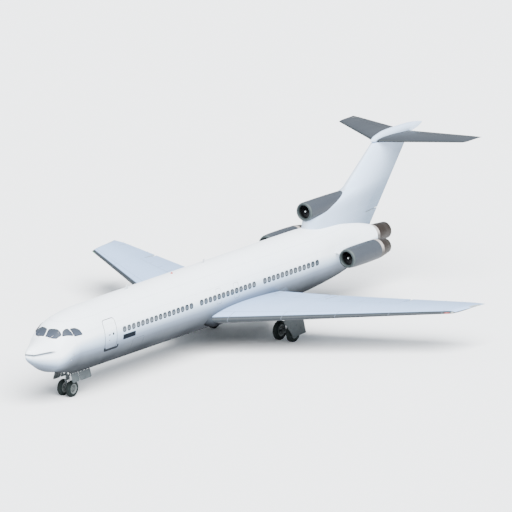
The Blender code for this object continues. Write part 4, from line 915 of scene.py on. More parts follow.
def intake_paint(name, mouth, color, hot_end):
    """Grey paint, a bare metal lip, painted shade down the throat, and steel aft of the hot end with a
    painted highlight on top and painted shade below.
    """
    paint = Paint(name, color, 0.45, specular=0.15)
    depth = paint.y - mouth[1]
    off_z = paint.z - mouth[2]
    reach = distance(abs(paint.x) - abs(mouth[0]), off_z)
    cloud = paint.noise(1.6, 4.0, (1, 0.3, 1))
    lip = paint.ramp(depth, 0.16, 0.15)
    # Painted shade: the throat darkens towards near black deeper in.
    inner = paint.ramp(reach, 0.60, 0.585) * paint.ramp(depth, 2.0, 1.0)
    tone = paint.blend(cloud, tuple(v * 0.82 for v in color), color)
    tone = paint.blend(lip, tone, (0.050, 0.062, 0.064))
    tone = paint.blend(
        inner,
        tone,
        paint.blend(paint.ramp(depth, 0.05, 0.35), (0.030, 0.038, 0.039), (0.004, 0.005, 0.005))
    )
    seam = paint.line(depth, 0.155, 0.012) | paint.line(depth, 0.95, 0.012) | paint.line(depth, 2.35, 0.012)
    # Aft of the hot end the steel is lighter on top as painted highlight and darker below as painted shade.
    steel = paint.blend(paint.ramp(off_z, -0.2, 0.4), (0.045, 0.042, 0.040), JET_BAND)
    tone = paint.blend(paint.ramp(depth, hot_end - 0.02, hot_end + 0.02), tone, steel)
    paint.color(paint.blend(seam * 0.5, tone, (0.020, 0.022, 0.025)))
    paint.roughness(0.42 + cloud * 0.12)
    paint.bump(1 - seam, 0.006)
    return paint


duct_paint = intake_paint("center_intake_paint", (0.0, MOUTH_Y, MOUTH_Z), NACELLE_COLOR, 20.0)
duct_y = np.concatenate(
    [MOUTH_Y + 0.23 * (1 - np.cos(np.linspace(0, math.pi / 2, 12))), np.linspace(32.4, 36.6, 24)]
)
duct_radius, duct_middle = stations_at(DUCT_STATIONS, duct_y)
lip_turn = np.clip((duct_y - MOUTH_Y) / 0.23, 0, 1)
duct_radius = np.where(
    duct_y < MOUTH_Y + 0.23, 0.515 + 0.133 * np.sqrt(1 - (1 - lip_turn) ** 2), duct_radius
)


def duct_rings(grow=0.0):
    rings = turned((0, 0, 0), duct_y, duct_radius + grow)
    rings[..., 2] += duct_middle[:, None]
    return rings


duct = loft("center_intake_skin", duct_rings(), duct_paint)
throat_y = np.concatenate([[-0.2], THROAT[0, 1] + np.linspace(0, 0.72, 24)])
throat_radius = np.concatenate([[0.515], smooth(THROAT[:, 1], THROAT[:, 0], np.linspace(0, 0.72, 24))])
throat = loft("center_throat", turned((0, MOUTH_Y, MOUTH_Z), throat_y, throat_radius), None)
carve(duct, [throat], inside=duct_paint)
finish_piece(duct, "airframe", "nacelle_grey_paint", "center_intake")
fin_cuts = [loft("rudder_room", rudder_room, None), loft("duct_room", duct_rings(0.002), None)]
carve(fin, fin_cuts, inside=bay_paint)
finish_piece(fin, "airframe", "white_paint", "fin")

# Tailplane: a swept board across the head of the fin, with an elevator on each side.
# A long fairing of glass fibre closes over the joint and tapers off behind it.

TAIL_Z, TAIL_TIP_X, TAIL_TIP_RAKE = 10.32, 5.13, 0.17
TAIL_LEAD = [(0.0, 40.05), (TAIL_TIP_X, 43.26)]
TAIL_TRAIL = [(0.0, 43.84), (TAIL_TIP_X + TAIL_TIP_RAKE, 45.22)]
TAIL_LINE_Z = [(0.0, TAIL_Z), (TAIL_TIP_X, TAIL_Z)]
TAIL_THICKNESS = [(0.0, 0.10), (TAIL_TIP_X, 0.09)]
ELEVATOR_SHARE, ELEVATOR_SPAN, ELEVATOR_END_GAP = 0.70, (0.55, 4.85), 0.04
ELEVATOR_SWING = math.radians(25)
# TAIL_LOWER and TAIL_EDGE are darker as painted shade of the underside and of the leading edge band.
TAIL_UPPER, TAIL_LOWER = (0.033, 0.038, 0.046), (0.024, 0.028, 0.034)
TAIL_EDGE, TAIL_EDGE_WIDTH = (0.020, 0.024, 0.028), 0.10
tail_paint, tail_tone, tail_share, tail_span, tail_under = panel_paint(
    "tailplane_grey_paint", TAIL_LEAD, TAIL_TRAIL, TAIL_LINE_Z, TAIL_LINE_Z, TAIL_UPPER, TAIL_LOWER,
    TAIL_EDGE, TAIL_EDGE_WIDTH
)
tail_ribs = tail_paint.lines(tail_span, 0.62, 0.9, 0.012) * 0.5
tail_seams = tail_paint.line(tail_share, 0.12, 0.005) | tail_paint.line(tail_share, 0.66, 0.004) | tail_ribs
tail_paint.color(tail_paint.blend(tail_seams * 0.4, tail_tone, (0.018, 0.021, 0.025)))
tail_paint.bump(1 - tail_seams, 0.005)
elevator_rooms = []
for side, word in SIDES:
    panel = Panel(TAIL_LEAD, TAIL_TRAIL, TAIL_LINE_Z, TAIL_LINE_Z, TAIL_THICKNESS, side)
    inner, outer = ELEVATOR_SPAN
    elevator = panel.control(
        f"elevator_{word}_skin", ELEVATOR_SHARE, inner, outer, ELEVATOR_SWING, tail_paint
    )
    finish_piece(elevator, f"elevator_{word}", "tail_grey_paint", f"elevator_{word}")
    room_ends = (inner - ELEVATOR_END_GAP, outer + ELEVATOR_END_GAP)
    elevator_rooms.append(panel.room(f"elevator_{word}_cove", ELEVATOR_SHARE, *room_ends))
tail_tip_steps = TAIL_TIP_X - 0.35 * np.cos(np.linspace(0, math.pi / 2, 8))
tail_spans = np.concatenate([np.linspace(0.2, 4.53, 14), tail_tip_steps])
port_tail = Panel(TAIL_LEAD, TAIL_TRAIL, TAIL_LINE_Z, TAIL_LINE_Z, TAIL_THICKNESS, 1)
tail_half = port_tail.rings(np.concatenate([[0.0], tail_spans]), TAIL_TIP_X, TAIL_TIP_RAKE, 0.35)
tail_whole = np.concatenate([tail_half[:0:-1] * (-1, 1, 1), tail_half])
tailplane = loft("tailplane_skin", tail_whole, tail_paint)
carve(tailplane, elevator_rooms, inside=bay_paint)
finish_piece(tailplane, "airframe", "tail_grey_paint", "tailplane")

# Distance aft, half width, middle height, half height
FAIRING_STATIONS = np.array([
    (39.70, 0.03, 10.36, 0.03), (40.10, 0.17, 10.42, 0.20), (41.60, 0.30, 10.46, 0.38),
    (43.80, 0.27, 10.48, 0.35), (45.10, 0.14, 10.50, 0.20), (45.70, 0.03, 10.54, 0.04)
])
fairing_y = np.concatenate(
    [39.70 + 0.4 * (1 - np.cos(np.linspace(0, math.pi / 2, 10))), np.linspace(40.3, 45.7, 28)]
)
fairing_width, fairing_middle, fairing_height = stations_at(FAIRING_STATIONS, fairing_y)
fairing_rings = turned((0, 0, 0), fairing_y, fairing_width)
fairing_rings[..., 2] *= (fairing_height / fairing_width)[:, None]
fairing_rings[..., 2] += fairing_middle[:, None]
fairing_paint = Paint("tail_fairing_paint", FIN_WHITE, 0.35, coat=0.1, specular=0.1)
fairing_cloud = fairing_paint.noise(1.2)
fairing_seam = fairing_paint.lines(fairing_paint.y, 1.15, 40.4, 0.014)
fairing_joint = fairing_paint.line(fairing_paint.z, TAIL_Z + 0.19, 0.014)
fairing_tone = fairing_paint.blend(fairing_cloud * 0.25, FIN_WHITE, FIN_SHADE)
fairing_paint.color(fairing_paint.blend((fairing_seam | fairing_joint) * 0.5, fairing_tone, SEAM_GREY))
fairing_paint.bump(1 - (fairing_seam | fairing_joint), 0.005)
fairing = loft("tailplane_fairing_skin", fairing_rings, fairing_paint)
finish_piece(fairing, "airframe", "white_paint", "tailplane_fairing")

# Side engines: each pod hangs from a short level pylon, cowled in aluminium over the machinery.
# A lip of bare metal rings the mouth, and the jet pipe behind is steel that heat has browned.

SIDE_ENGINE_X, SIDE_ENGINE_Z = 3.30, 4.22
POD_MOUTH, POD_END = 32.14, 35.66
POD_LENGTH = POD_END - POD_MOUTH
JOINT_GAP = 0.0007
# Radius and distance behind the mouth
POD_SKIN = [
    (0.515, 0), (0.575, 0.015), (0.635, 0.07), (0.672, 0.25), (0.700, 0.90), (0.702, 2.00),
    (0.672, POD_LENGTH)
]


def drawn(points, count):
    """A smooth curve through the points: monotone cubics of the length along the broken line."""
    points = np.asarray(points, float)
    length = np.concatenate([[0], np.cumsum(np.linalg.norm(np.diff(points, axis=0), axis=1))])
    at = np.linspace(0, length[-1], count)
    return np.stack([smooth(length, column, at) for column in points.T], axis=1)


def turned_wall(name, outlines, center, paint, angle=40):
    """Closed walls of revolution about the way aft, from outlines of (radius, distance) that close."""
    grids = [turned(center, outline[:, 1], outline[:, 0]) for outline in map(np.asarray, outlines)]
    return several(name, grids, paint, angle, ends="joined")


pod_paint = intake_paint(
    "side_nacelle_paint", (SIDE_ENGINE_X, POD_MOUTH, SIDE_ENGINE_Z), NACELLE_COLOR, POD_LENGTH - 0.27
)
pod_bore = np.concatenate([[(0.502, POD_LENGTH), (0.502, 2.0)], drawn(THROAT[:0:-1], 22)])
pod_outline = np.concatenate([drawn(POD_SKIN, 56), pod_bore])

# JET_BURNT_AND_SHADE is the heat-browned steel, and also the painted shade under the pipes.
JET_BURNT_AND_SHADE, JET_BLUE = (0.020, 0.015, 0.012), (0.034, 0.028, 0.025)


def jet_paint(name, start, length, axis_x, axis_z, band):
    """Steel that heat has browned behind a short pale band, streaked aft, sooty inside, and darkened below
    as painted shade, so the band stays pale only on top.
    """
    paint = Paint(name, JET_BURNT_AND_SHADE, 0.5, metallic=0.3)
    depth = (paint.y - start) / length
    streak = paint.noise(6.0, 4.0, (1, 0.12, 1))
    reach = distance(abs(paint.x) - axis_x, paint.z - axis_z)
    tone = paint.blend(paint.ramp(depth + streak * 0.12, band, band + 0.10), JET_BAND, JET_BURNT_AND_SHADE)
    ring = paint.line(depth, band, 0.02) | paint.line(depth, 0.62, 0.015) | paint.line(depth, 0.93, 0.02)
    blued = paint.line(depth + streak * 0.1, 0.72, 0.22)
    tone = paint.blend(blued * 0.55, tone, JET_BLUE)
    # Painted shade: the pipe darkens towards its underside.
    tone = paint.blend(paint.ramp(paint.z, axis_z + 0.30, axis_z - 0.50) * 0.85, tone, JET_BURNT_AND_SHADE)
    inside = paint.ramp(reach, 0.515, 0.500)
    tone = paint.blend(inside * paint.ramp(depth, 1.02, 0.9), tone, (0.012, 0.010, 0.009))
    paint.color(paint.blend(ring * 0.5, tone, (0.02, 0.016, 0.014)))
    paint.roughness(0.38 + streak * 0.25)
    paint.bump(1 - ring, 0.006)
    return paint


side_jet_paint = jet_paint("side_jet_pipe_steel", POD_END, 1.04, SIDE_ENGINE_X, SIDE_ENGINE_Z, 0.04)
jet_outside = drawn([(0.670, 0.0), (0.655, 0.12), (0.560, 0.70), (0.500, 1.04)], 22)
jet_inside = drawn([(0.470, 1.04), (0.485, 0.70), (0.500, 0.15), (0.500, 0.0)], 14)

steel_paint = Paint("bare_steel", (0.45, 0.45, 0.46), 0.32, metallic=0.9)
steel_paint.mottled(14.0, (0.30, 0.30, 0.31), (0.50, 0.50, 0.51), (0.24, 0.22), detail=4.0)

FAN_RADIUS, FAN_HUB, FAN_BACK, FAN_BLADES = 0.435, 0.15, 0.42, 22
# The spinners are painted near black as painted shade inside the intakes, all but their pale tips.
spinner_paint = Paint("spinner_alloy", (0.5, 0.5, 0.5), 0.4, metallic=0.2)
spinner_cloud = spinner_paint.noise(12.0)
from_axis = distance(abs(spinner_paint.x) - SIDE_ENGINE_X, spinner_paint.z - SIDE_ENGINE_Z)
from_middle = distance(spinner_paint.x, spinner_paint.z - MOUTH_Z)
spinner_reach = from_axis.math("MINIMUM", from_middle) + spinner_cloud * 0.01
spinner_paint.color(
    spinner_paint.blend(
        spinner_paint.ramp(spinner_reach, 0.055, 0.070), (0.42, 0.45, 0.45), (0.012, 0.013, 0.014)
    )
)
# The titanium blades are painted near black as painted shade deep in the intake.
blade_paint = Paint("fan_blade_titanium", (0.04, 0.04, 0.042), 0.5, metallic=0.5)
blade_paint.mottled(20.0, (0.010, 0.011, 0.012), (0.030, 0.031, 0.034), (0.45, 0.2))


def fan_blades(center):
    """Blades of chord 0.10 and thickness 0.012 that turn from 30 degrees at the hub to 60 at the tip.

    Each is a grid of flat ellipses over the radius, and the set is that grid turned round the shaft.
    """
    reach = np.linspace(FAN_HUB - 0.02, FAN_RADIUS, 9)[:, None]
    share = (reach - FAN_HUB) / (FAN_RADIUS - FAN_HUB)
    turn = round_angles(12)
    across, thick = (0.052 + 0.012 * share) * np.cos(turn), 0.007 * np.sin(turn)
    twist = np.radians(30 + 30 * share)
    y = across * np.cos(twist) - thick * np.sin(twist)
    side = across * np.sin(twist) + thick * np.cos(twist)
    blades = []
    for angle in round_angles(FAN_BLADES):
        x = reach * np.cos(angle) - side * np.sin(angle)
        z = reach * np.sin(angle) + side * np.cos(angle)
        blades.append(points_at(x, y, z) + np.asarray(center))
    return blades


def fan(name, body, center, shaft):
    """The blades, and a turned hub with its pointed spinner ahead and a stub of shaft behind."""
    hub = [
        (0.004, -0.235), (0.035, -0.225), (0.075, -0.175), (0.118, -0.11), (0.142, -0.05), (FAN_HUB, 0.0)
    ]
    hub = np.concatenate([drawn(hub, 20), [(FAN_HUB, 0.055), (0.08, 0.056), (0.08, shaft)]])
    fitted(f"{name}_blades", fan_blades(center), blade_paint, body, "hot_section_metal", angle=50)
    spinner = loft(f"{name}_spinner", turned(center, hub[:, 1], hub[:, 0]), spinner_paint)
    finish_piece(spinner, body, "hot_section_metal", name)


block_paint = Paint("engine_block_metal", (0.03, 0.03, 0.032), 0.55, metallic=0.6)
block_cloud = block_paint.noise(5.0, 5.0)
block_vane = block_paint.lines(block_paint.z - SIDE_ENGINE_Z, 0.06, 0, 0.02)
block_paint.color(block_paint.blend(block_cloud, (0.012, 0.012, 0.013), (0.045, 0.043, 0.042)))
block_paint.bump(block_vane, 0.01)
for name in ("engine_left", "engine_right", "engine_center"):
    for material_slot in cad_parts[name].material_slots:
        material_slot.material = block_paint.material

pylon_paint = Paint("pylon_white_paint", (0.62, 0.67, 0.72), 0.3, coat=0.1, specular=0.1)
pylon_cloud = pylon_paint.noise(1.4)
pylon_seam = pylon_paint.line(pylon_paint.y, 33.62, 0.012) | pylon_paint.line(pylon_paint.y, 35.5, 0.012)
pylon_tone = pylon_paint.blend(pylon_cloud, (0.52, 0.56, 0.61), (0.62, 0.67, 0.72))
pylon_paint.color(pylon_paint.blend(pylon_seam * 0.5, pylon_tone, SEAM_GREY))
pylon_paint.bump(1 - pylon_seam, 0.005)
pylon_top = drawn([(33.05, 4.22), (33.25, 4.32), (33.80, 4.38), (35.30, 4.37), (36.35, 4.235)], 40)
pylon_low = pylon_top[::-1][:-1] * (1, -1) + (0, 2 * 4.22)
pylon_loop = np.concatenate([pylon_top, pylon_low])
pod_reach = np.interp(pylon_loop[:, 0], [33.04, 34.14, 35.66, 36.36], [0.70, 0.702, 0.672, 0.56])
pylon_share = np.linspace(0, 1, 5)[:, None]
pylon_x = 1.2 + (SIDE_ENGINE_X + 0.03 - pod_reach - 1.2) * pylon_share

for side, word in SIDES:
    mouth = (side * SIDE_ENGINE_X, POD_MOUTH, SIDE_ENGINE_Z)
    pod = turned_wall(f"nacelle_{word}_cowl", [pod_outline], mouth, pod_paint)
    finish_piece(pod, "airframe", "nacelle_grey_paint", f"nacelle_{word}")
    pod_end = (mouth[0], POD_END + 2 * JOINT_GAP, mouth[2])
    jet = turned_wall(
        f"nozzle_{word}_pipe", [np.concatenate([jet_outside, jet_inside])], pod_end, side_jet_paint
    )
    finish_piece(jet, "airframe", "hot_section_metal", f"nozzle_{word}")
    cone_outline = np.concatenate(
        [[(0.24, -0.08)], drawn([(0.24, 0.0), (0.19, 0.25), (0.10, 0.5), (0.01, 0.62)], 16)]
    )
    cone = loft(f"tail_cone_{word}", turned(pod_end, cone_outline[:, 1], cone_outline[:, 0]), block_paint)
    finish_piece(cone, "airframe", "dark_metal")
    fan(f"fan_{word}", f"fan_{word}", (mouth[0], POD_MOUTH + FAN_BACK, mouth[2]), 0.34 - JOINT_GAP)
    stem = points_at(side * pylon_x, pylon_loop[:, 0], pylon_loop[:, 1])
    pylon = loft(f"pylon_{word}_skin", stem, pylon_paint)
    finish_piece(pylon, "airframe", "white_paint", f"pylon_{word}")

# Centre engine: it lies in the tail behind the duct, and its jet pipe is the aircraft's last point.
# The pipe is bare steel bolted to the tail's end frame, with a cone of dark steel in its middle.

TAIL_AXIS_Z = 3.89
tail_jet_paint = jet_paint("tail_jet_pipe_steel", AFT_END, 1.44, 0.0, TAIL_AXIS_Z, -0.04)
tail_outside = drawn([(0.655, 0.0), (0.650, 0.30), (0.605, 1.00), (0.575, 1.44)], 24)
tail_inside = drawn([(0.540, 1.44), (0.520, 1.00), (0.505, 0.30), (0.500, 0.0)], 14)
tail_end = (0, AFT_END, TAIL_AXIS_Z)
tail_jet = turned_wall(
    "nozzle_center_pipe", [np.concatenate([tail_outside, tail_inside])], tail_end, tail_jet_paint
)
finish_piece(tail_jet, "airframe", "hot_section_metal", "nozzle_center")
cone_outline = np.concatenate(
    [[(0.26, -0.08)], drawn([(0.26, 0.0), (0.21, 0.3), (0.11, 0.7), (0.01, 0.9)], 18)]
)
tail_cone = loft("tail_cone_center", turned(tail_end, cone_outline[:, 1], cone_outline[:, 0]), block_paint)
finish_piece(tail_cone, "airframe", "dark_metal")
fan("fan_center", "fan_center", (0, MOUTH_Y + FAN_BACK, MOUTH_Z), 0.30 - JOINT_GAP)

# Nose gear: an oil strut that pivots on a trunnion in its bay, held by a folding brace behind.
# Its lower half slides and steers, and carries the two wheels on one axle.

NOSE_GEAR_Y, NOSE_WHEEL_RADIUS, NOSE_AXLE = 4.73, 0.55, 0.060
STEER_TOP, TRUNNION_Z = 1.30, 2.18
BAY_HALF_WIDTH, BAY_END, BAY_ROOF = 0.67, 6.42, 2.35

gear_paint = Paint("gear_grey_enamel", (0.06, 0.07, 0.072), 0.45)
gear_cloud = gear_paint.noise(4.0, 5.0)
gear_oil = gear_paint.ramp(gear_paint.noise(9.0, 3.0, (1, 1, 0.25)), 0.58, 0.70)
gear_tone = gear_paint.blend(gear_cloud, (0.040, 0.047, 0.050), (0.085, 0.096, 0.100))
gear_paint.color(gear_paint.blend(gear_oil * 0.6, gear_tone, (0.014, 0.014, 0.013)))
gear_paint.roughness(0.36 + gear_cloud * 0.25)
gear_paint.bump(gear_cloud, 0.002, 0.4)

chrome_paint = Paint("oleo_chrome", (0.62, 0.63, 0.64), 0.12, metallic=1.0)
chrome_paint.mottled(
    10.0, (0.45, 0.46, 0.47), (0.68, 0.69, 0.70), (0.08, 0.12), detail=3.0, factors=(1, 1, 0.2)
)

rubber_paint = Paint("hose_rubber", (0.012, 0.012, 0.012), 0.6)
rubber_cloud = rubber_paint.noise(40.0)
rubber_paint.roughness(0.5 + rubber_cloud * 0.2)


def circle(way, sides, sense=1):
    """Unit vectors evenly round a direction, all square to it."""
    across = np.cross(way, (0, 0, 1) if abs(way[2]) < 0.9 else (0, 1, 0))
    across = across / np.linalg.norm(across)
    turn = sense * round_angles(sides)[None, :, None]
    return across * np.cos(turn) + np.cross(way, across) * np.sin(turn)


def rod(start, end, radius, sides=28, soft=0.012):
    """A round bar between two points, with softened rims. radius is one number, or one for each end."""
    start, end = np.asarray(start, float), np.asarray(end, float)
    first, last = radius if isinstance(radius, tuple) else (radius, radius)
    length = np.linalg.norm(end - start)
    way = (end - start) / length
    soft = min(soft, length * 0.3, first * 0.5, last * 0.5)
    at = np.array([0, soft * 0.3, soft, length - soft, length - soft * 0.3, length])[:, None, None]
    reach = first + (last - first) * at / length
    reach = reach - np.array([soft, soft * 0.3, 0, 0, soft * 0.3, soft])[:, None, None]
    return start + way * at + circle(way, sides, -1) * reach


def drum(center, axis, profile, sides=40):
    """A body of revolution about an axis through the center, from (distance, radius) pairs."""
    center, axis = np.asarray(center, float), np.asarray(axis, float)
    profile = np.asarray(profile, float)[:, :, None, None]
    return center + axis * profile[:, 0] + circle(axis, sides) * profile[:, 1]


def collar(foot, profile, sides=40):
    """A drum about an upright leg, from (height, radius) pairs."""
    return drum(foot, (0, 0, 1), profile, sides)


def plate(outline, way, thickness, rim=0.01):
    """A flat plate: an outline of points, thickened both ways along a direction, with softened rims."""
    outline, way = np.asarray(outline, float), np.asarray(way, float)
    middle = outline.mean(axis=0)
    size = np.linalg.norm(outline - middle, axis=1, keepdims=True)
    small = outline - (outline - middle) / size * rim
    half = way * thickness / 2
    return np.stack([small - half, outline - half * 0.6, outline + half * 0.6, small + half])


def upright_plate(outline, thickness, rim=0.01):
    """A plate that stands fore and aft."""
    return plate(outline, (1, 0, 0), thickness, rim)


def hose(points, radius, count=28, sides=10):
    """A tube along a smooth curve through the points."""
    path = drawn(points, count)
    way = np.gradient(path, axis=0)
    way = way / np.linalg.norm(way, axis=1, keepdims=True)
    across = np.cross(way, (0.3, 0.9, 0.1))
    across = across / np.linalg.norm(across, axis=1, keepdims=True)
    up = np.cross(way, across)
    turn = round_angles(sides)[None, :, None]
    return path[:, None] + (across[:, None] * np.cos(turn) + up[:, None] * np.sin(turn)) * radius


def on_leg(z, ahead=0.0, x=0.0):
    """A point at a height on the nose leg's axis, or ahead of it or beside it."""
    return (x, NOSE_GEAR_Y - ahead, z)


trunnion_end = BAY_HALF_WIDTH - JOINT_GAP
leg_parts = [
    collar(on_leg(0), [(1.305, 0.10), (1.31, 0.115), (1.33, 0.12), (2.24, 0.12), (2.25, 0.11)]),
    collar(on_leg(0), [(1.36, 0.12), (1.362, 0.142), (1.42, 0.142), (1.425, 0.12)]),
    collar(on_leg(0), [(1.70, 0.12), (1.702, 0.14), (1.80, 0.14), (1.805, 0.12)]),
    collar(on_leg(0), [(2.02, 0.12), (2.03, 0.155), (2.26, 0.155), (2.27, 0.13)]),
    rod(on_leg(TRUNNION_Z, x=-trunnion_end), on_leg(TRUNNION_Z, x=trunnion_end), 0.07),
    rod(on_leg(1.78), (0.0, 6.05, BAY_ROOF - 0.10), 0.050),
    rod((0.10, NOSE_GEAR_Y + 0.10, 1.80), (0.30, 6.02, BAY_ROOF - 0.06), 0.032),
    rod((-0.10, NOSE_GEAR_Y + 0.10, 1.80), (-0.30, 6.02, BAY_ROOF - 0.06), 0.032),
    rod((-0.34, 6.04, BAY_ROOF - 0.08), (0.34, 6.04, BAY_ROOF - 0.08), 0.05),
    rod(on_leg(1.40, 0.02, 0.19), on_leg(1.40, 0.02, -0.19), 0.035)
]
for x in (-0.17, 0.17):
    leg_parts.append(rod(on_leg(1.46, 0.02, x), on_leg(1.76, 0.02, x), 0.042))
    leg_parts.append(rod(on_leg(1.36, 0.02, x), on_leg(1.46, 0.02, x), 0.026))
    leg_parts.append(rod(on_leg(1.66, 0.0, x * 0.5), on_leg(1.66, 0.02, x), 0.03))
    leg_parts.append(
        drum(on_leg(1.60, 0.10, x), (0, -1, 0), [(0, 0.05), (0.02, 0.062), (0.06, 0.078), (0.075, 0.078)])
    )
fitted("nose_gear_strut", leg_parts, gear_paint, "airframe", "gear_grey_paint", "nose_gear_leg")

lamp_paint = Paint("lamp_glass", (0.85, 0.88, 0.88), 0.08, coat=1.0)
lamp_ribs = lamp_paint.lines(lamp_paint.x, 0.014, 0, 0.006)
lamp_cloud = lamp_paint.noise(20.0)
lamp_paint.color(lamp_paint.blend(lamp_cloud, (0.72, 0.76, 0.76), (0.88, 0.90, 0.90)))
lamp_paint.bump(lamp_ribs, 0.002)
lenses = [
    drum(on_leg(1.60, 0.175, x), (0, -1, 0), [(0, 0.07), (0.006, 0.064), (0.014, 0.045), (0.018, 0.01)])
    for x in (-0.17, 0.17)
]
fitted("nose_gear_lamps", lenses, lamp_paint, "airframe", "tinted_glass")

foot_parts = [
    collar(
        on_leg(0),
        [
            (1.12, 0.13), (1.13, 0.15), (1.16, 0.15), (1.165, 0.138), (1.25, 0.138), (1.255, 0.15),
            (1.29, 0.15), (1.299, 0.14)
        ]
    ),
    rod(on_leg(0.55, x=-0.18), on_leg(0.55, x=0.18), 0.105),
    collar(on_leg(0), [(0.52, 0.09), (0.66, 0.098), (0.70, 0.085), (0.705, 0.076)]),
    upright_plate([on_leg(1.21, 0.02), on_leg(1.17, 0.31), on_leg(1.11, 0.31), on_leg(1.10, 0.02)], 0.10),
    rod(on_leg(1.14, 0.28, -0.075), on_leg(1.14, 0.28, 0.075), 0.032),
    rod(on_leg(1.14, 0.28, 0.05), on_leg(0.68, 0.06, 0.035), 0.022),
    rod(on_leg(1.14, 0.28, -0.05), on_leg(0.68, 0.06, -0.035), 0.022),
    upright_plate([on_leg(0.98, 0.20), on_leg(1.06, 0.26), on_leg(0.76, 0.12), on_leg(0.72, 0.09)], 0.075),
    upright_plate(
        [(0, 4.70, 0.595), (0, 4.58, 0.585), (0, 4.555, 0.55), (0, 4.58, 0.515), (0, 4.70, 0.505)], 0.09
    )
]
fitted("nose_gear_fork", foot_parts, gear_paint, "nose_gear_foot", "gear_grey_paint", "nose_gear_steering")
fitted(
    "nose_gear_piston", [rod(on_leg(0.60), on_leg(1.18), 0.075)], chrome_paint, "nose_gear_foot",
    "rim_metal"
)
nose_lines = [
    hose(
        [(x, NOSE_GEAR_Y + 0.13, 2.2), (x, NOSE_GEAR_Y + 0.15, 1.8), (x * 1.4, NOSE_GEAR_Y + 0.14, 1.34)],
        0.012,
    )
    for x in (-0.05, 0.05)
]
fitted("nose_gear_hoses", nose_lines, rubber_paint, "airframe", "tyre_rubber")

# Wheels: forged alloy rims in halves that are bolted together, under tyres with four grooves.
# The two wheels of a leg share one axle.


def tyre_outline(bead, radius, half, grooves=4):
    """Half width and radius round a tyre: a square-shouldered bulge from bead to bead, with grooves.

    The carcass is a superellipse of power 2.6 about the middle of the wall, and cut flat for the tread.
    """
    middle = bead + (radius - bead) * 0.46
    turn = np.linspace(-0.20 * math.pi, 1.20 * math.pi, 61)
    x = half * np.sign(np.cos(turn)) * np.abs(np.cos(turn)) ** (2 / 2.6)
    rise = np.where(np.sin(turn) > 0, radius - middle, middle - bead)
    z = middle + rise * np.sign(np.sin(turn)) * np.abs(np.sin(turn)) ** (2 / 2.6)
    tread = np.linspace(0.62, -0.62, 49)
    groove = np.abs((tread * (grooves + 1) / 1.24 * 2 + (grooves + 1) % 2) % 2 - 1) < 0.12
    side = np.abs(x) > half * 0.64
    first, last = np.argmax(~side), len(side) - np.argmax(~side[::-1])
    tread_z = radius - 0.006 * (tread / 0.62) ** 4 - np.where(groove, 0.014, 0.0)
    x = np.concatenate([x[:first], tread * half, x[last:]])
    z = np.concatenate([z[:first], tread_z, z[last:]])
    return np.stack([np.concatenate([x, [x[-1] * 0.9]]), np.concatenate([z, [bead]])], axis=1)


def wheel_paint(name, axle_y, axle_z, rim, holes):
    """Silver grey enamel with a ring of lightening holes painted near black as painted shade, bolts between
    them, and brake dust.
    """
    paint = Paint(name, (0.10, 0.11, 0.11), 0.45, metallic=0.1)
    off_y, off_z = paint.y - axle_y, paint.z - axle_z
    reach = distance(off_y, off_z) / rim
    turn = off_z.math("ARCTAN2", off_y) * (holes / (2 * math.pi))
    swing = abs((turn + 100.5).math("FRACT") - 0.5) / holes * (2 * math.pi) * reach
    away = reach - 0.56
    # The holes are not cut: each is a near black spot of painted shade.
    hole = paint.ramp(distance(away, swing), 0.105, 0.09)
    bolt_swing = abs((turn + 100.0).math("FRACT") - 0.5) / holes * (2 * math.pi) * reach
    bolt_away = reach - 0.74
    bolt = paint.ramp(distance(bolt_away, bolt_swing), 0.05, 0.035)
    dust = paint.noise(9.0, 4.0)
    tone = paint.blend(dust, (0.030, 0.036, 0.036), (0.065, 0.074, 0.074))
    tone = paint.blend(paint.ramp(reach, 0.80, 0.88), tone, (0.105, 0.120, 0.120))
    tone = paint.blend(paint.line(reach, 0.40, 0.07), tone, (0.110, 0.125, 0.125))
    tone = paint.blend(bolt, tone, (0.14, 0.14, 0.14))
    paint.color(paint.blend(hole, tone, (0.006, 0.006, 0.006)))
    paint.roughness(0.36 + dust * 0.25)
    paint.bump(bolt - hole, 0.02)
    return paint


def tyre_paint(name, axle_y, axle_z, bead, radius):
    """Black rubber with fine moulded rings on the walls, a scuffed dusty tread and a paler shoulder."""
    paint = Paint(name, (0.008, 0.010, 0.010), 0.75, specular=0.1)
    reach = distance(paint.y - axle_y, paint.z - axle_z)
    dust, scuff = paint.noise(7.0, 5.0), paint.noise(45.0, 3.0)
    wall = paint.ramp(reach, radius - 0.06, radius - 0.07)
    rings = paint.lines(reach, 0.022, 0, 0.006) * wall
    band = paint.line(reach, bead + (radius - bead) * 0.55, 0.02)
    tread = paint.ramp(reach, radius - 0.012, radius - 0.002)
    tone = paint.blend(dust, (0.005, 0.008, 0.008), (0.011, 0.016, 0.016))
    paint.color(paint.blend(tread * scuff, tone, (0.020, 0.024, 0.023)))
    paint.roughness(0.62 + dust * 0.25)
    paint.bump(rings * 0.4 + band + scuff * 0.15, 0.004)
    return paint


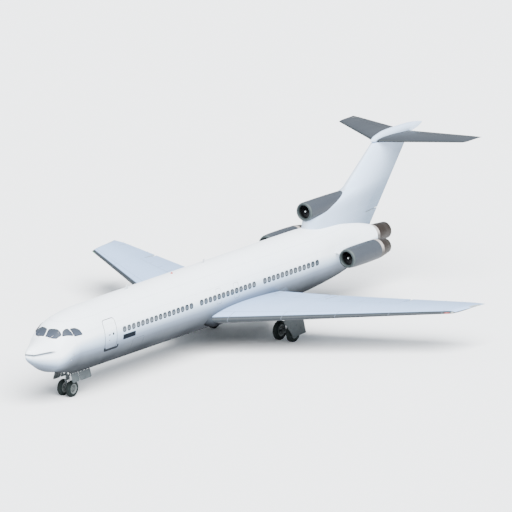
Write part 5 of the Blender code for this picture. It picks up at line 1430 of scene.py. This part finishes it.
def wheel_pair(name, body, center, half_track, radius, width, rim_radius, axle, tyre_names, holes):
    """Two wheels on an axle along x: rims turned from a dished profile, and the tyres on their beads."""
    half, (x, y, z) = width / 2, center
    face = half * 0.78
    rim_finish = wheel_paint(f"{name}_alloy", y, z, rim_radius, holes)
    rubber = tyre_paint(f"{name}_rubber", y, z, rim_radius, radius)
    profile = [
        (-half * 0.50, 0.02), (-half * 0.52, rim_radius * 0.80), (-half * 0.80, rim_radius * 0.90),
        (-half * 0.86, rim_radius * 1.00), (-half * 0.84, rim_radius * 1.055),
        (-half * 0.72, rim_radius * 1.04), (-half * 0.70, rim_radius * 0.995),
        (half * 0.70, rim_radius * 0.995), (half * 0.72, rim_radius * 1.04),
        (half * 0.84, rim_radius * 1.055), (half * 0.86, rim_radius * 1.00), (face, rim_radius * 0.90),
        (face * 0.62, rim_radius * 0.82), (face * 0.46, rim_radius * 0.72),
        (face * 0.50, rim_radius * 0.42), (face * 0.74, rim_radius * 0.34),
        (face * 0.98, rim_radius * 0.30), (face * 1.04, rim_radius * 0.24), (face * 1.04, 0.02)
    ]
    parts = []
    reach = half_track + half * 0.55
    parts.append(rod((x - reach, y, z), (x + reach, y, z), axle, 32))
    for side, tyre_name in zip((1, -1), tyre_names):
        middle, axis = (x + side * half_track, y, z), (side, 0, 0)
        parts.append(drum(middle, axis, profile, 72))
        outline = tyre_outline(rim_radius + JOINT_GAP, radius, half)
        grids = [drum(middle, axis, outline, 96)]
        fitted(
            f"{tyre_name}_rubber", grids, rubber, body, "tyre_rubber", tyre_name, angle=35, ends="joined"
        )
    fitted(f"{name}_rims", parts, rim_finish, body, "rim_metal", name)


wheel_pair(
    "nose_wheel_hubs", "nose_wheels", (0, NOSE_GEAR_Y, NOSE_WHEEL_RADIUS),
    half_track=0.36, radius=NOSE_WHEEL_RADIUS, width=0.33, rim_radius=0.32, axle=NOSE_AXLE,
    tyre_names=("nose_tyre_left", "nose_tyre_right"), holes=8
)

# Nose gear doors: two pairs of honeycomb plates stiffened by ribs on the side that faces the leg.
# The front pair is linked to the strut and stays open, and the rear pair turns on the bay's edge.
# A lip of skin along each side of the bay closes down to them.

DOOR_HINGE_X, DOOR_HINGE_Z, DOOR_REACH, DOOR_FLARE = 0.645, 1.690, 0.62, math.radians(16)
FRONT_DOOR, REAR_DOOR = (4.18, 4.98), (5.03, 6.33)

door_paint = Paint("gear_door_enamel", (0.05, 0.06, 0.062), 0.45)
door_cloud = door_paint.noise(3.0, 5.0)
door_scuff = door_paint.ramp(door_paint.noise(11.0, 2.0, (1, 0.4, 1)), 0.60, 0.72)
door_tone = door_paint.blend(door_cloud, (0.030, 0.037, 0.040), (0.070, 0.083, 0.088))
door_paint.color(door_paint.blend(door_scuff * 0.7, door_tone, (0.013, 0.016, 0.018)))
door_paint.roughness(0.36 + door_cloud * 0.2)
door_paint.bump(door_cloud, 0.003, 0.3)


def bay_door(side, start, end, ribs):
    """The plate, its ribs, and the hinge knuckles along its upper edge."""
    down = np.array([side * math.sin(DOOR_FLARE), 0, -math.cos(DOOR_FLARE)])
    inward = np.array([-side * math.cos(DOOR_FLARE), 0, -math.sin(DOOR_FLARE)])
    hinge = np.array([side * DOOR_HINGE_X, 0, DOOR_HINGE_Z])

    def at(reach, y, off=0.0):
        return hinge + down * reach + inward * off + (0, y, 0)

    corners = [at(0.03, start), at(0.03, end), at(DOOR_REACH - 0.07, end), at(DOOR_REACH, end - 0.10)]
    corners += [at(DOOR_REACH, start + 0.10), at(DOOR_REACH - 0.07, start)]
    parts = [plate(corners, inward, 0.030)]
    for y in np.linspace(start + 0.10, end - 0.10, ribs):
        rib = [
            at(0.06, y, 0.012),
            at(0.12, y, 0.045),
            at(DOOR_REACH - 0.12, y, 0.045),
            at(DOOR_REACH - 0.05, y, 0.012)
        ]
        parts.append(plate(rib, (0, 1, 0), 0.026, 0.004))
        parts.append(rod(at(0.02, y - 0.05, 0.0), at(0.02, y + 0.05, 0.0), 0.022, 14, 0.004))
    for reach in (0.14, DOOR_REACH - 0.14):
        stringer = [at(reach - 0.012, start + 0.05, 0.024), at(reach - 0.012, end - 0.05, 0.024)]
        stringer += [at(reach + 0.012, end - 0.05, 0.024), at(reach + 0.012, start + 0.05, 0.024)]
        parts.append(plate(stringer, inward, 0.026, 0.004))
    return parts


for side, word in SIDES:
    front_parts = bay_door(side, *FRONT_DOOR, 3)
    front_parts.append(rod((side * 0.63, 4.60, 1.40), (side * 0.15, NOSE_GEAR_Y, 1.42), 0.018, 16))
    flange = [
        (side * 0.63, 4.28, 1.70), (side * 0.63, 4.88, 1.70), (side * 0.668, 4.88, 1.70),
        (side * 0.668, 4.28, 1.70)
    ]
    front_parts.append(plate(flange, (0, 0, 1), 0.04, 0.003))
    fitted(
        f"nose_front_door_{word}", front_parts, door_paint, "airframe", "gear_grey_paint",
        f"nose_gear_front_door_{word}", angle=30
    )
    fitted(
        f"nose_rear_door_{word}", bay_door(side, *REAR_DOOR, 4), door_paint, f"nose_gear_door_{word}",
        "gear_grey_paint", f"nose_gear_rear_door_{word}", angle=30
    )

bay_lips = []
for side in (1, -1):
    lip = [
        (side * 0.673, 4.15, 1.70), (side * 0.673, 4.15, 1.96), (side * 0.673, 5.00, 1.86),
        (side * 0.673, 6.40, 1.72), (side * 0.673, 6.40, 1.70)
    ]
    bay_lips.append(upright_plate([(x + side * 0.014, y, z) for x, y, z in lip], 0.028, 0.003))
fitted("nose_bay_lips", bay_lips, nose_skin, "airframe", "white_paint", angle=30)

# Main gear: an oil strut from the wing, a side brace to the belly, and torque links behind.
# Two wheels share its axle, and the plate that covers the strut in flight hangs from it outboard.

MAIN_GEAR_X, MAIN_GEAR_Y, MAIN_WHEEL_RADIUS, MAIN_AXLE = 3.24, 25.26, 0.645, 0.085
LEG_TOP, ARM_Z = 2.78, 1.56
DOOR_PLATE_X = (4.13, 4.17)
DOOR_PLATE = [(23.60, 1.78), (25.85, 1.78), (26.25, 0.50), (24.85, 0.42)]

for side, word in SIDES:

    def by_leg(z, aft=0.0, x=MAIN_GEAR_X):
        """A point at a height on this side's main leg, or aft of it or at another x."""
        return (side * x, MAIN_GEAR_Y + aft, z)

    axis_foot = by_leg(0)
    leg_parts = [
        collar(
            axis_foot,
            [
                (1.35, 0.135), (1.36, 0.150), (1.43, 0.150), (1.44, 0.138), (2.20, 0.138), (2.30, 0.15),
                (LEG_TOP, 0.15)
            ],
            48
        ),
        collar(axis_foot, [(1.50, 0.13), (1.505, 0.158), (1.62, 0.158), (1.625, 0.13)], 48),
        collar(axis_foot, [(1.80, 0.13), (1.81, 0.152), (1.87, 0.152), (1.88, 0.13)], 48),
        rod(by_leg(0.645, x=2.98), by_leg(0.645, x=3.50), 0.135, 36),
        collar(axis_foot, [(0.60, 0.11), (0.78, 0.125), (0.84, 0.115), (0.85, 0.101)], 40),
        rod(by_leg(1.72), by_leg(2.42, x=2.0), 0.065),
        rod(by_leg(1.98, -0.02), by_leg(2.46, -0.5, 3.15), 0.045),
        rod(by_leg(1.42, 0.02, 3.16), by_leg(1.08, 0.33, 3.22), 0.026),
        rod(by_leg(1.42, 0.02, 3.32), by_leg(1.08, 0.33, 3.26), 0.026),
        rod(by_leg(1.08, 0.33, 3.14), by_leg(1.08, 0.33, 3.34), 0.032),
        rod(by_leg(1.09, 0.32, 3.22), by_leg(0.74, 0.05, 3.14), 0.026),
        rod(by_leg(1.09, 0.32, 3.26), by_leg(0.74, 0.05, 3.34), 0.026),
        upright_plate(
            [by_leg(1.36, 0.10), by_leg(1.40, 0.16), by_leg(1.16, 0.34), by_leg(1.12, 0.28)], 0.06
        ),
        upright_plate(
            [by_leg(1.00, 0.26), by_leg(1.05, 0.32), by_leg(0.80, 0.14), by_leg(0.76, 0.08)], 0.06
        ),
        rod(by_leg(1.72, 0.0, 3.10), by_leg(1.72, 0.0, 3.38), 0.055)
    ]
    fitted(
        f"main_gear_strut_{word}", leg_parts, gear_paint, "airframe", "gear_grey_paint",
        f"main_gear_leg_{word}"
    )
    fitted(
        f"main_gear_piston_{word}", [rod(by_leg(0.70), by_leg(1.40), 0.100, 40)], chrome_paint,
        "airframe", "rim_metal"
    )
    lines = []
    for off in (-0.05, 0.05):
        x = MAIN_GEAR_X + off
        path = [
            by_leg(2.35, 0.155, x),
            by_leg(1.70, 0.175, x),
            by_leg(1.30, 0.20, x),
            by_leg(0.98, 0.44, x + off),
            by_leg(0.70, 0.15, x + 2 * off)
        ]
        lines.append(hose(path, 0.013))
    fitted(f"main_gear_hoses_{word}", lines, rubber_paint, "airframe", "tyre_rubber")
    wheel_pair(
        f"main_wheel_hubs_{word}", f"main_wheels_{word}", by_leg(MAIN_WHEEL_RADIUS),
        half_track=0.54, radius=MAIN_WHEEL_RADIUS, width=0.40, rim_radius=0.38, axle=MAIN_AXLE,
        tyre_names=(f"main_tyre_{word}_port", f"main_tyre_{word}_starboard"), holes=10
    )
    middle = side * sum(DOOR_PLATE_X) / 2
    panel_parts = [
        upright_plate([(middle, y, z) for y, z in DOOR_PLATE], DOOR_PLATE_X[1] - DOOR_PLATE_X[0])
    ]
    inner = middle - side * 0.035
    for y0, y1, z in (
        (23.85, 25.84, 1.62), (24.14, 25.95, 1.28), (24.46, 26.05, 0.94), (24.76, 26.15, 0.62)
    ):
        beam = [(inner, y0, z - 0.02), (inner, y1, z - 0.02), (inner, y1, z + 0.02), (inner, y0, z + 0.02)]
        panel_parts.append(upright_plate(beam, 0.05, 0.004))
    for y in (24.90, 25.60):
        post = [
            (inner, y - 0.02, 1.68), (inner, y + 0.02, 1.68), (inner, y + 0.02, 0.62),
            (inner, y - 0.02, 0.62)
        ]
        panel_parts.append(upright_plate(post, 0.044, 0.004))
    for aft in (-0.06, 0.06):
        panel_parts.append(rod(by_leg(ARM_Z, aft, 3.39), by_leg(ARM_Z, aft, 4.14), 0.035, 20))
    fitted(
        f"main_gear_door_{word}_plate", panel_parts, door_paint, "airframe", "gear_grey_paint",
        f"main_gear_door_{word}", angle=30
    )

# Cockpit windows: six heated panes of laminated glass, in metal posts with a dark seal round each.
# They are bolted in from outside, and two arms with wipers lie at the foot of the front pair.

GLASS_GREY, GLASS_PALE = (0.046, 0.056, 0.077), (0.034, 0.041, 0.052)
glass_paint = Paint("cockpit_glass", GLASS_GREY, 0.3, specular=0.08)
glass_cloud = glass_paint.noise(0.9)
glass_paint.color(
    glass_paint.blend(glass_paint.ramp(glass_paint.z + glass_cloud * 0.2, 4.6, 5.2), GLASS_GREY, GLASS_PALE)
)
glass_paint.roughness(0.26 + glass_cloud * 0.08)
seal_paint = Paint("window_seal", (0.045, 0.05, 0.06), 0.5, specular=0.0)
seal_paint.mottled(8.0, (0.010, 0.012, 0.015), (0.022, 0.025, 0.030), (0.42, 0.2))


def skin_girth(y, z):
    """How far round the skin a height is: the angle above port times the tube's half width."""
    top, bottom = stations_at(FUSELAGE_STATIONS, np.asarray(y, float))[1:]
    return np.arcsin(np.clip((z - (top + bottom) / 2) / ((top - bottom) / 2), -1, 1)) * TUBE_HALF_WIDTH


def rounded(corners, radius, count):
    """A closed outline with its corners rounded by second degree curves, as evenly spaced points."""
    corners = np.asarray(corners, float)
    t = np.linspace(0, 1, 7)[None, :, None]
    pulls = []
    for way in (1, -1):
        step = np.roll(corners, way, axis=0) - corners
        pulls.append(corners + step / np.linalg.norm(step, axis=1, keepdims=True) * radius)
    arcs = (1 - t) ** 2 * pulls[0][:, None] + 2 * t * (1 - t) * corners[:, None] + t**2 * pulls[1][:, None]
    loop = arcs.reshape(-1, 2)
    loop = np.concatenate([loop, loop[:1]])
    length = np.concatenate([[0], np.cumsum(np.hypot(*np.diff(loop, axis=0).T))])
    at = np.linspace(0, length[-1], count, endpoint=False)
    return np.stack([np.interp(at, length, loop[:, k]) for k in (0, 1)], axis=1)


def on_skin(outline, side, out):
    """Points of the skin for an outline of (distance aft, girth), raised by out."""
    points = fuselage_point(outline[..., 0], outline[..., 1] / TUBE_HALF_WIDTH, out)
    return points * (side, 1, 1)


def patch(outline, side, rise, sunk=0.015):
    """A plate that follows the skin: rings of its outline, shrunk towards the middle, over a rim."""
    middle = outline.mean(axis=0)
    shrink = np.array(
        [0.02, 0.5, 1, 1, 0.985, 0.88, 0.75, 0.62, 0.5, 0.38, 0.25, 0.12, 0.02]
    )[:, None, None]
    out = np.array([-sunk, -sunk, -sunk, rise * 0.6, *[rise] * 9])[:, None]
    return on_skin(middle + (outline - middle) * shrink, side, out)


def widened(outline, width):
    """The outline moved outwards by a width, along its own normals."""
    along_it = np.roll(outline, -1, axis=0) - np.roll(outline, 1, axis=0)
    normal = np.stack(
        [along_it[:, 1], -along_it[:, 0]], axis=1
    ) / np.linalg.norm(along_it, axis=1, keepdims=True)
    outwards = np.sign(np.sum(normal * (outline - outline.mean(axis=0))))
    return outline + normal * width * outwards


def band(outline, side, width, rise, sunk=0.015):
    """A strip of that width round an outline, proud of the skin by rise, with a foot inside it."""
    edges = [
        (0.0, -sunk), (0.0, rise * 0.7), (width * 0.15, rise), (width * 0.85, rise),
        (width, rise * 0.7), (width, -sunk)
    ]
    return np.stack([on_skin(widened(outline, off), side, out) for off, out in edges])


def girths(corners):
    """Corners of (distance aft, height) as (distance aft, girth)."""
    corners = np.asarray(corners, float)
    return np.stack([corners[:, 0], skin_girth(corners[:, 0], corners[:, 1])], axis=1)


def oblong(y, z, half_length, half_height):
    """The four corners of an upright oblong on the skin, as (distance aft, girth)."""
    low, high, near, far = z - half_height, z + half_height, y - half_length, y + half_length
    return girths([(near, low), (far, low), (far, high), (near, high)])


def angled(corners):
    """Corners of (distance aft, degrees above port) as (distance aft, girth)."""
    corners = np.asarray(corners, float)
    return np.stack([corners[:, 0], np.radians(corners[:, 1]) * TUBE_HALF_WIDTH], axis=1)


pane_corners = [
    angled([
        (2.50, 87.4), (2.70, 67.0), (2.68, 57.5), (2.61, 49.4), (2.32, 54.5), (2.17, 67), (2.13, 87.2)
    ]),
    angled([(2.64, 45.8), (2.84, 53.2), (3.03, 53.4), (3.21, 50.5), (3.32, 31.0)]),
    girths([(3.36, 5.005), (3.73, 5.00), (3.99, 4.85), (4.11, 4.56), (3.43, 4.56)])
]
panes, seals = [], []
for side in (1, -1):
    for corners in pane_corners:
        outline = rounded(corners, 0.07, 72)
        panes.append(patch(outline, side, 0.022))
        seals.append(band(outline, side, 0.030, 0.026))
fitted("cockpit_glass_panes", panes, glass_paint, "airframe", "tinted_glass", "cockpit_windows")
fitted("cockpit_window_seals", seals, seal_paint, "airframe", "tyre_rubber", ends="joined")

# Cabin doors: plug doors that open inwards and then out, so each lies flush in its frame.
# A scuffed steel sill wraps the foot of the port one, where the steps stand.

DOOR_START, DOOR_END, DOOR_BOTTOM, DOOR_TOP = 6.42, 7.72, 3.06, 4.96
gap_paint = Paint("door_gap_shadow", (0.05, 0.06, 0.07), 0.7, specular=0.0)
gap_paint.mottled(6.0, (0.022, 0.026, 0.031), (0.042, 0.048, 0.057))
dark_panel_paint = Paint("dark_panel_enamel", (0.02, 0.023, 0.03), 0.4, specular=0.0)
dark_panel_paint.mottled(5.0, (0.006, 0.008, 0.011), (0.013, 0.016, 0.021), (0.35, 0.2))

door_corners = girths(
    [(DOOR_START, DOOR_BOTTOM), (DOOR_END, DOOR_BOTTOM), (DOOR_END, DOOR_TOP), (DOOR_START, DOOR_TOP)]
)
door_outline = rounded(door_corners, 0.24, 128)
# Side, distance aft, height, half length, half height, corner
hatches = [
    (1, 10.30, 2.62, 0.62, 0.50, 0.10), (-1, 10.20, 2.62, 0.72, 0.55, 0.12),
    (-1, 30.20, 2.80, 0.62, 0.50, 0.12), (1, 19.44, 4.05, 0.26, 0.50, 0.10),
    (1, 21.46, 4.05, 0.26, 0.50, 0.10), (-1, 19.44, 4.05, 0.26, 0.50, 0.10),
    (-1, 21.46, 4.05, 0.26, 0.50, 0.10), (-1, 31.72, 3.95, 0.34, 0.72, 0.10)
]
gaps = []
for side, name in ((1, "passenger_door"), (-1, "service_door")):
    fitted(
        f"{name}_leaf", [patch(door_outline, side, 0.008)], nose_skin, "airframe", "white_paint", name,
        angle=30
    )
    gaps.append(band(door_outline, side, 0.045, 0.003))
for side, y, z, half_length, half_height, corner in hatches:
    gaps.append(band(rounded(oblong(y, z, half_length, half_height), corner, 72), side, 0.014, 0.0025))
fitted("door_gaps", gaps, gap_paint, "airframe", "dark_metal", ends="joined")

sill_path = [
    (6.42, 3.16), (6.44, 3.01), (6.54, 2.96), (7.2, 2.96), (7.80, 2.96), (7.89, 3.01), (7.91, 3.16)
]
sill_line = on_skin(girths(sill_path), 1, -0.045)
door_furniture = [hose(sill_line, 0.090, 60, 16)]
for side in (1, -1):
    for y, z, half_length, half_height in (
        (7.34, 3.98, 0.085, 0.085), (6.90, 3.98, 0.10, 0.035), (6.90, 3.62, 0.05, 0.03)
    ):
        outline = rounded(oblong(y, z, half_length, half_height), half_height * 0.9, 32)
        door_furniture.append(patch(outline, side, 0.014))
fitted("door_sill_and_handles", door_furniture, seal_paint, "airframe", "dark_metal")

panel_corners = girths([(8.45, 3.34), (9.87, 3.34), (9.87, 3.68), (8.45, 3.68)])
fitted(
    "dark_side_panel", [patch(rounded(panel_corners, 0.02, 64), 1, 0.006)], dark_panel_paint,
    "airframe", "dark_metal"
)

# Cabin windows: stretched acrylic in pressed frames, one to each bay between the fuselage frames.
# A blind is drawn partly down behind each, and a dark rubber seal runs round it.

WINDOW_Z, WINDOW_HALF_LENGTH, WINDOW_HALF_HEIGHT = 4.025, 0.150, 0.130
window_places = np.concatenate([
    [8.62, 9.14, 9.66],
    np.linspace(10.20, 16.25, 13),
    np.linspace(17.43, 23.47, 13),
    np.linspace(24.72, 30.80, 13)
])
acrylic_paint = Paint("cabin_window_acrylic", (0.20, 0.23, 0.26), 0.12, specular=0.4)
blind = acrylic_paint.ramp(acrylic_paint.z, WINDOW_Z - 0.13, WINDOW_Z + 0.13)
acrylic_cloud = acrylic_paint.noise(2.2)
acrylic_tone = acrylic_paint.blend(blind, (0.085, 0.105, 0.125), (0.035, 0.043, 0.052))
acrylic_paint.color(acrylic_paint.blend(acrylic_cloud * 0.5, acrylic_tone, (0.060, 0.075, 0.090)))
acrylic_paint.roughness(0.06 + acrylic_cloud * 0.08)
window_frames, window_panes = [], []
for side in (1, -1):
    for y in window_places:
        outline = rounded(oblong(y, WINDOW_Z, WINDOW_HALF_LENGTH, WINDOW_HALF_HEIGHT), 0.10, 28)
        window_panes.append(patch(outline, side, 0.004))
        window_frames.append(band(outline, side, 0.055, 0.009))
fitted("cabin_window_panes", window_panes, acrylic_paint, "airframe", "tinted_glass")
fitted("cabin_window_frames", window_frames, seal_paint, "airframe", "dark_metal", ends="joined")

# Airstair: a slab of the tail's belly on a hinge at its front edge, with nine steps on its inside.
# The treads are ribbed metal, and they lie level once the slab is down.

STAIR_NOSE, STAIR_THICKNESS, STAIR_STEPS, STAIR_SWING = 0.14, 0.22, 9, math.radians(37)


def belly_height(y):
    return stations_at(FUSELAGE_STATIONS, np.asarray(y, float))[2]


def stair_outline():
    """The slab from the side: a round nose about the hinge, and teeth whose treads are level when down.

    Tooth k starts at a = first + k pitch along the slab, and rises by pitch cos2 tan of the tread's
    angle to the slab.
    """
    slope = math.atan2(belly_height(STAIR_END) - belly_height(STAIR_START), STAIR_END - STAIR_START)
    length = (STAIR_END - STAIR_START) / math.cos(slope)
    first, last = 0.08, 0.04
    pitch = (length - first - last) / STAIR_STEPS
    tread = STAIR_SWING - slope
    back = pitch * math.cos(tread) ** 2
    start = first + np.arange(STAIR_STEPS + 1) * pitch
    low = np.stack([start, np.full_like(start, STAIR_THICKNESS)], axis=1)
    high = low + (back, back * math.tan(tread))
    teeth = np.stack([low, high], axis=1).reshape(-1, 2)[:-1]
    front = belly_height(STAIR_START)
    turn = np.array([[math.cos(slope), -math.sin(slope)], [math.sin(slope), math.cos(slope)]])
    placed = teeth @ turn.T + (STAIR_START, front)
    hinge = np.array([STAIR_START + STAIR_NOSE, belly_height(STAIR_START + STAIR_NOSE) + STAIR_NOSE])
    arc = np.linspace(0, math.pi / 2, 9)[:, None]
    nose = hinge - STAIR_NOSE * np.concatenate([np.sin(arc), np.cos(arc)], axis=1)
    ends = [[(hinge[0], 1.0)], nose, [(STAIR_START, front + STAIR_THICKNESS)], placed, [(STAIR_END, 1.0)]]
    return np.concatenate([np.asarray(part, float) for part in ends])


tread_paint = Paint("stair_tread_metal", (0.30, 0.31, 0.31), 0.5, metallic=0.4)
tread_cloud = tread_paint.noise(5.0, 4.0)
bars = tread_paint.lines(tread_paint.x, 0.04, 0, 0.014)
tread_paint.color(tread_paint.blend(tread_cloud, (0.17, 0.18, 0.18), (0.36, 0.37, 0.37)))
tread_paint.bump(bars, 0.004)
stair_steps = np.linspace(33.5, 38.3, 40)
stair = loft("airstair_slab", fuselage_rings(stair_steps), skin)
side_view = stair_outline()
stair_walls = [
    np.stack([np.full(len(side_view), x), side_view[:, 0], side_view[:, 1]], axis=1)
    for x in (-STAIR_HALF_WIDTH, STAIR_HALF_WIDTH)
]
carve(stair, [loft("stair_outline", stair_walls, None)], "INTERSECT", inside=tread_paint)
finish_piece(stair, "airstair", "white_paint", "ventral_airstair")

# Small fittings: blade aerials, beacons, air data probes, wipers, position lamps and static wicks.
# They are enamelled castings, steel tubes and glass, each screwed or riveted to the skin.

fitting_paint = Paint("fitting_enamel", (0.50, 0.53, 0.56), 0.4)
fitting_paint.mottled(6.0, (0.36, 0.39, 0.42), (0.55, 0.58, 0.61), (0.34, 0.2))


def blade_aerial(y, z, height, length, up):
    """A swept fin: ellipses whose length shrinks to 0.55 and which drift aft with the height."""
    rise = np.linspace(-0.06, 1, 8)[:, None]
    turn = round_angles(24)
    half = length / 2 * (1 - 0.45 * rise) * np.where(rise > 0.95, 0.8, 1)
    x = 0.022 * np.sin(turn) * (1 - 0.5 * rise)
    at_y = y + half * np.cos(turn) + length * 0.35 * rise
    return points_at(x, at_y, z + up * height * rise)


aerials = [blade_aerial(11.4, 5.91, 0.30, 0.34, 1), blade_aerial(20.2, 5.91, 0.26, 0.30, 1)]
fitted("blade_aerials", aerials, fitting_paint, "airframe", "white_paint")


def probe(side, y, z):
    """An air data tube: a swept mast off the skin and a tapered tube that points ahead."""
    root = on_skin(girths([(y, z)]), side, -0.01)[0]
    away = on_skin(girths([(y, z)]), side, 0.13)[0]
    return [
        rod(root, away + (0, -0.03, 0), (0.022, 0.012), 12, 0.003),
        rod(away + (0, 0.01, 0), away + (0, -0.22, 0), (0.014, 0.009), 12, 0.004)
    ]


probe_parts = [
    part for side in (1, -1) for y, z in ((2.9, 3.10), (3.1, 3.42)) for part in probe(side, y, z)
]
for x in (-1, 1):
    pivot, tip = angled([(1.98, 74), (2.50, 70)]), angled([(2.02, 60), (2.60, 60)])
    arm = on_skin(np.array([pivot[0], (pivot[0] + tip[1]) / 2, tip[1]]), x, 0.022)
    probe_parts.append(hose(arm, 0.009, 16, 8))
fitted("probes_and_wipers", probe_parts, steel_paint, "airframe", "rim_metal")

beacon_paint = Paint("beacon_red_glass", (0.45, 0.02, 0.015), 0.1, coat=1.0)
beacon_paint.mottled(30.0, (0.30, 0.012, 0.010), (0.50, 0.03, 0.02))
beacon_paint.bump(beacon_paint.lines(beacon_paint.z, 0.012, 0, 0.005), 0.002)
dome = drawn([(0.085, -0.02), (0.082, 0.03), (0.060, 0.085), (0.02, 0.11), (0.004, 0.112)], 14)
beacons = [
    drum((0, 16.6, 5.91), (0, 0, 1), dome[:, ::-1], 32),
    drum((0, 14.9, 1.55), (0, 0, -1), dome[:, ::-1], 32)
]
fitted("beacons", beacons, beacon_paint, "airframe", "tinted_glass")

green_paint = Paint("position_lamp_green_glass", (0.02, 0.35, 0.10), 0.1, coat=1.0)
green_paint.mottled(30.0, (0.015, 0.25, 0.07), (0.03, 0.40, 0.12))
for side, word, finish in ((1, "left", beacon_paint), (-1, "right", green_paint)):
    s = np.linspace(14.30, 14.66, 10)[:, None]
    y, z = wing_panels[word].middle(s, 0.0)
    turn = round_angles(20)
    swell = np.sin(np.linspace(0.12, math.pi - 0.12, 10))[:, None]
    lens = wing_panels[word].put(
        s, y + 0.012 + 0.045 * swell * np.cos(turn), z + 0.030 * swell * np.sin(turn)
    )
    fitted(f"position_lamp_{word}", [lens], finish, "airframe", "tinted_glass")

wicks = {}
for side, word in SIDES:
    for place, body in (
        (11.6, f"aileron_{word}"), (12.6, f"aileron_{word}"), (13.6, f"aileron_{word}"), (14.4, "airframe")
    ):
        y, z = wing_panels[word].middle(place, 1.0)
        start = wing_panels[word].put(place, y - 0.02, z)
        wicks.setdefault(body, []).append(rod(start, start + (0, 0.20, 0), (0.008, 0.004), 8, 0.002))
for body, parts in wicks.items():
    fitted(f"static_wicks_{body}", parts, rubber_paint, body, "tyre_rubber")
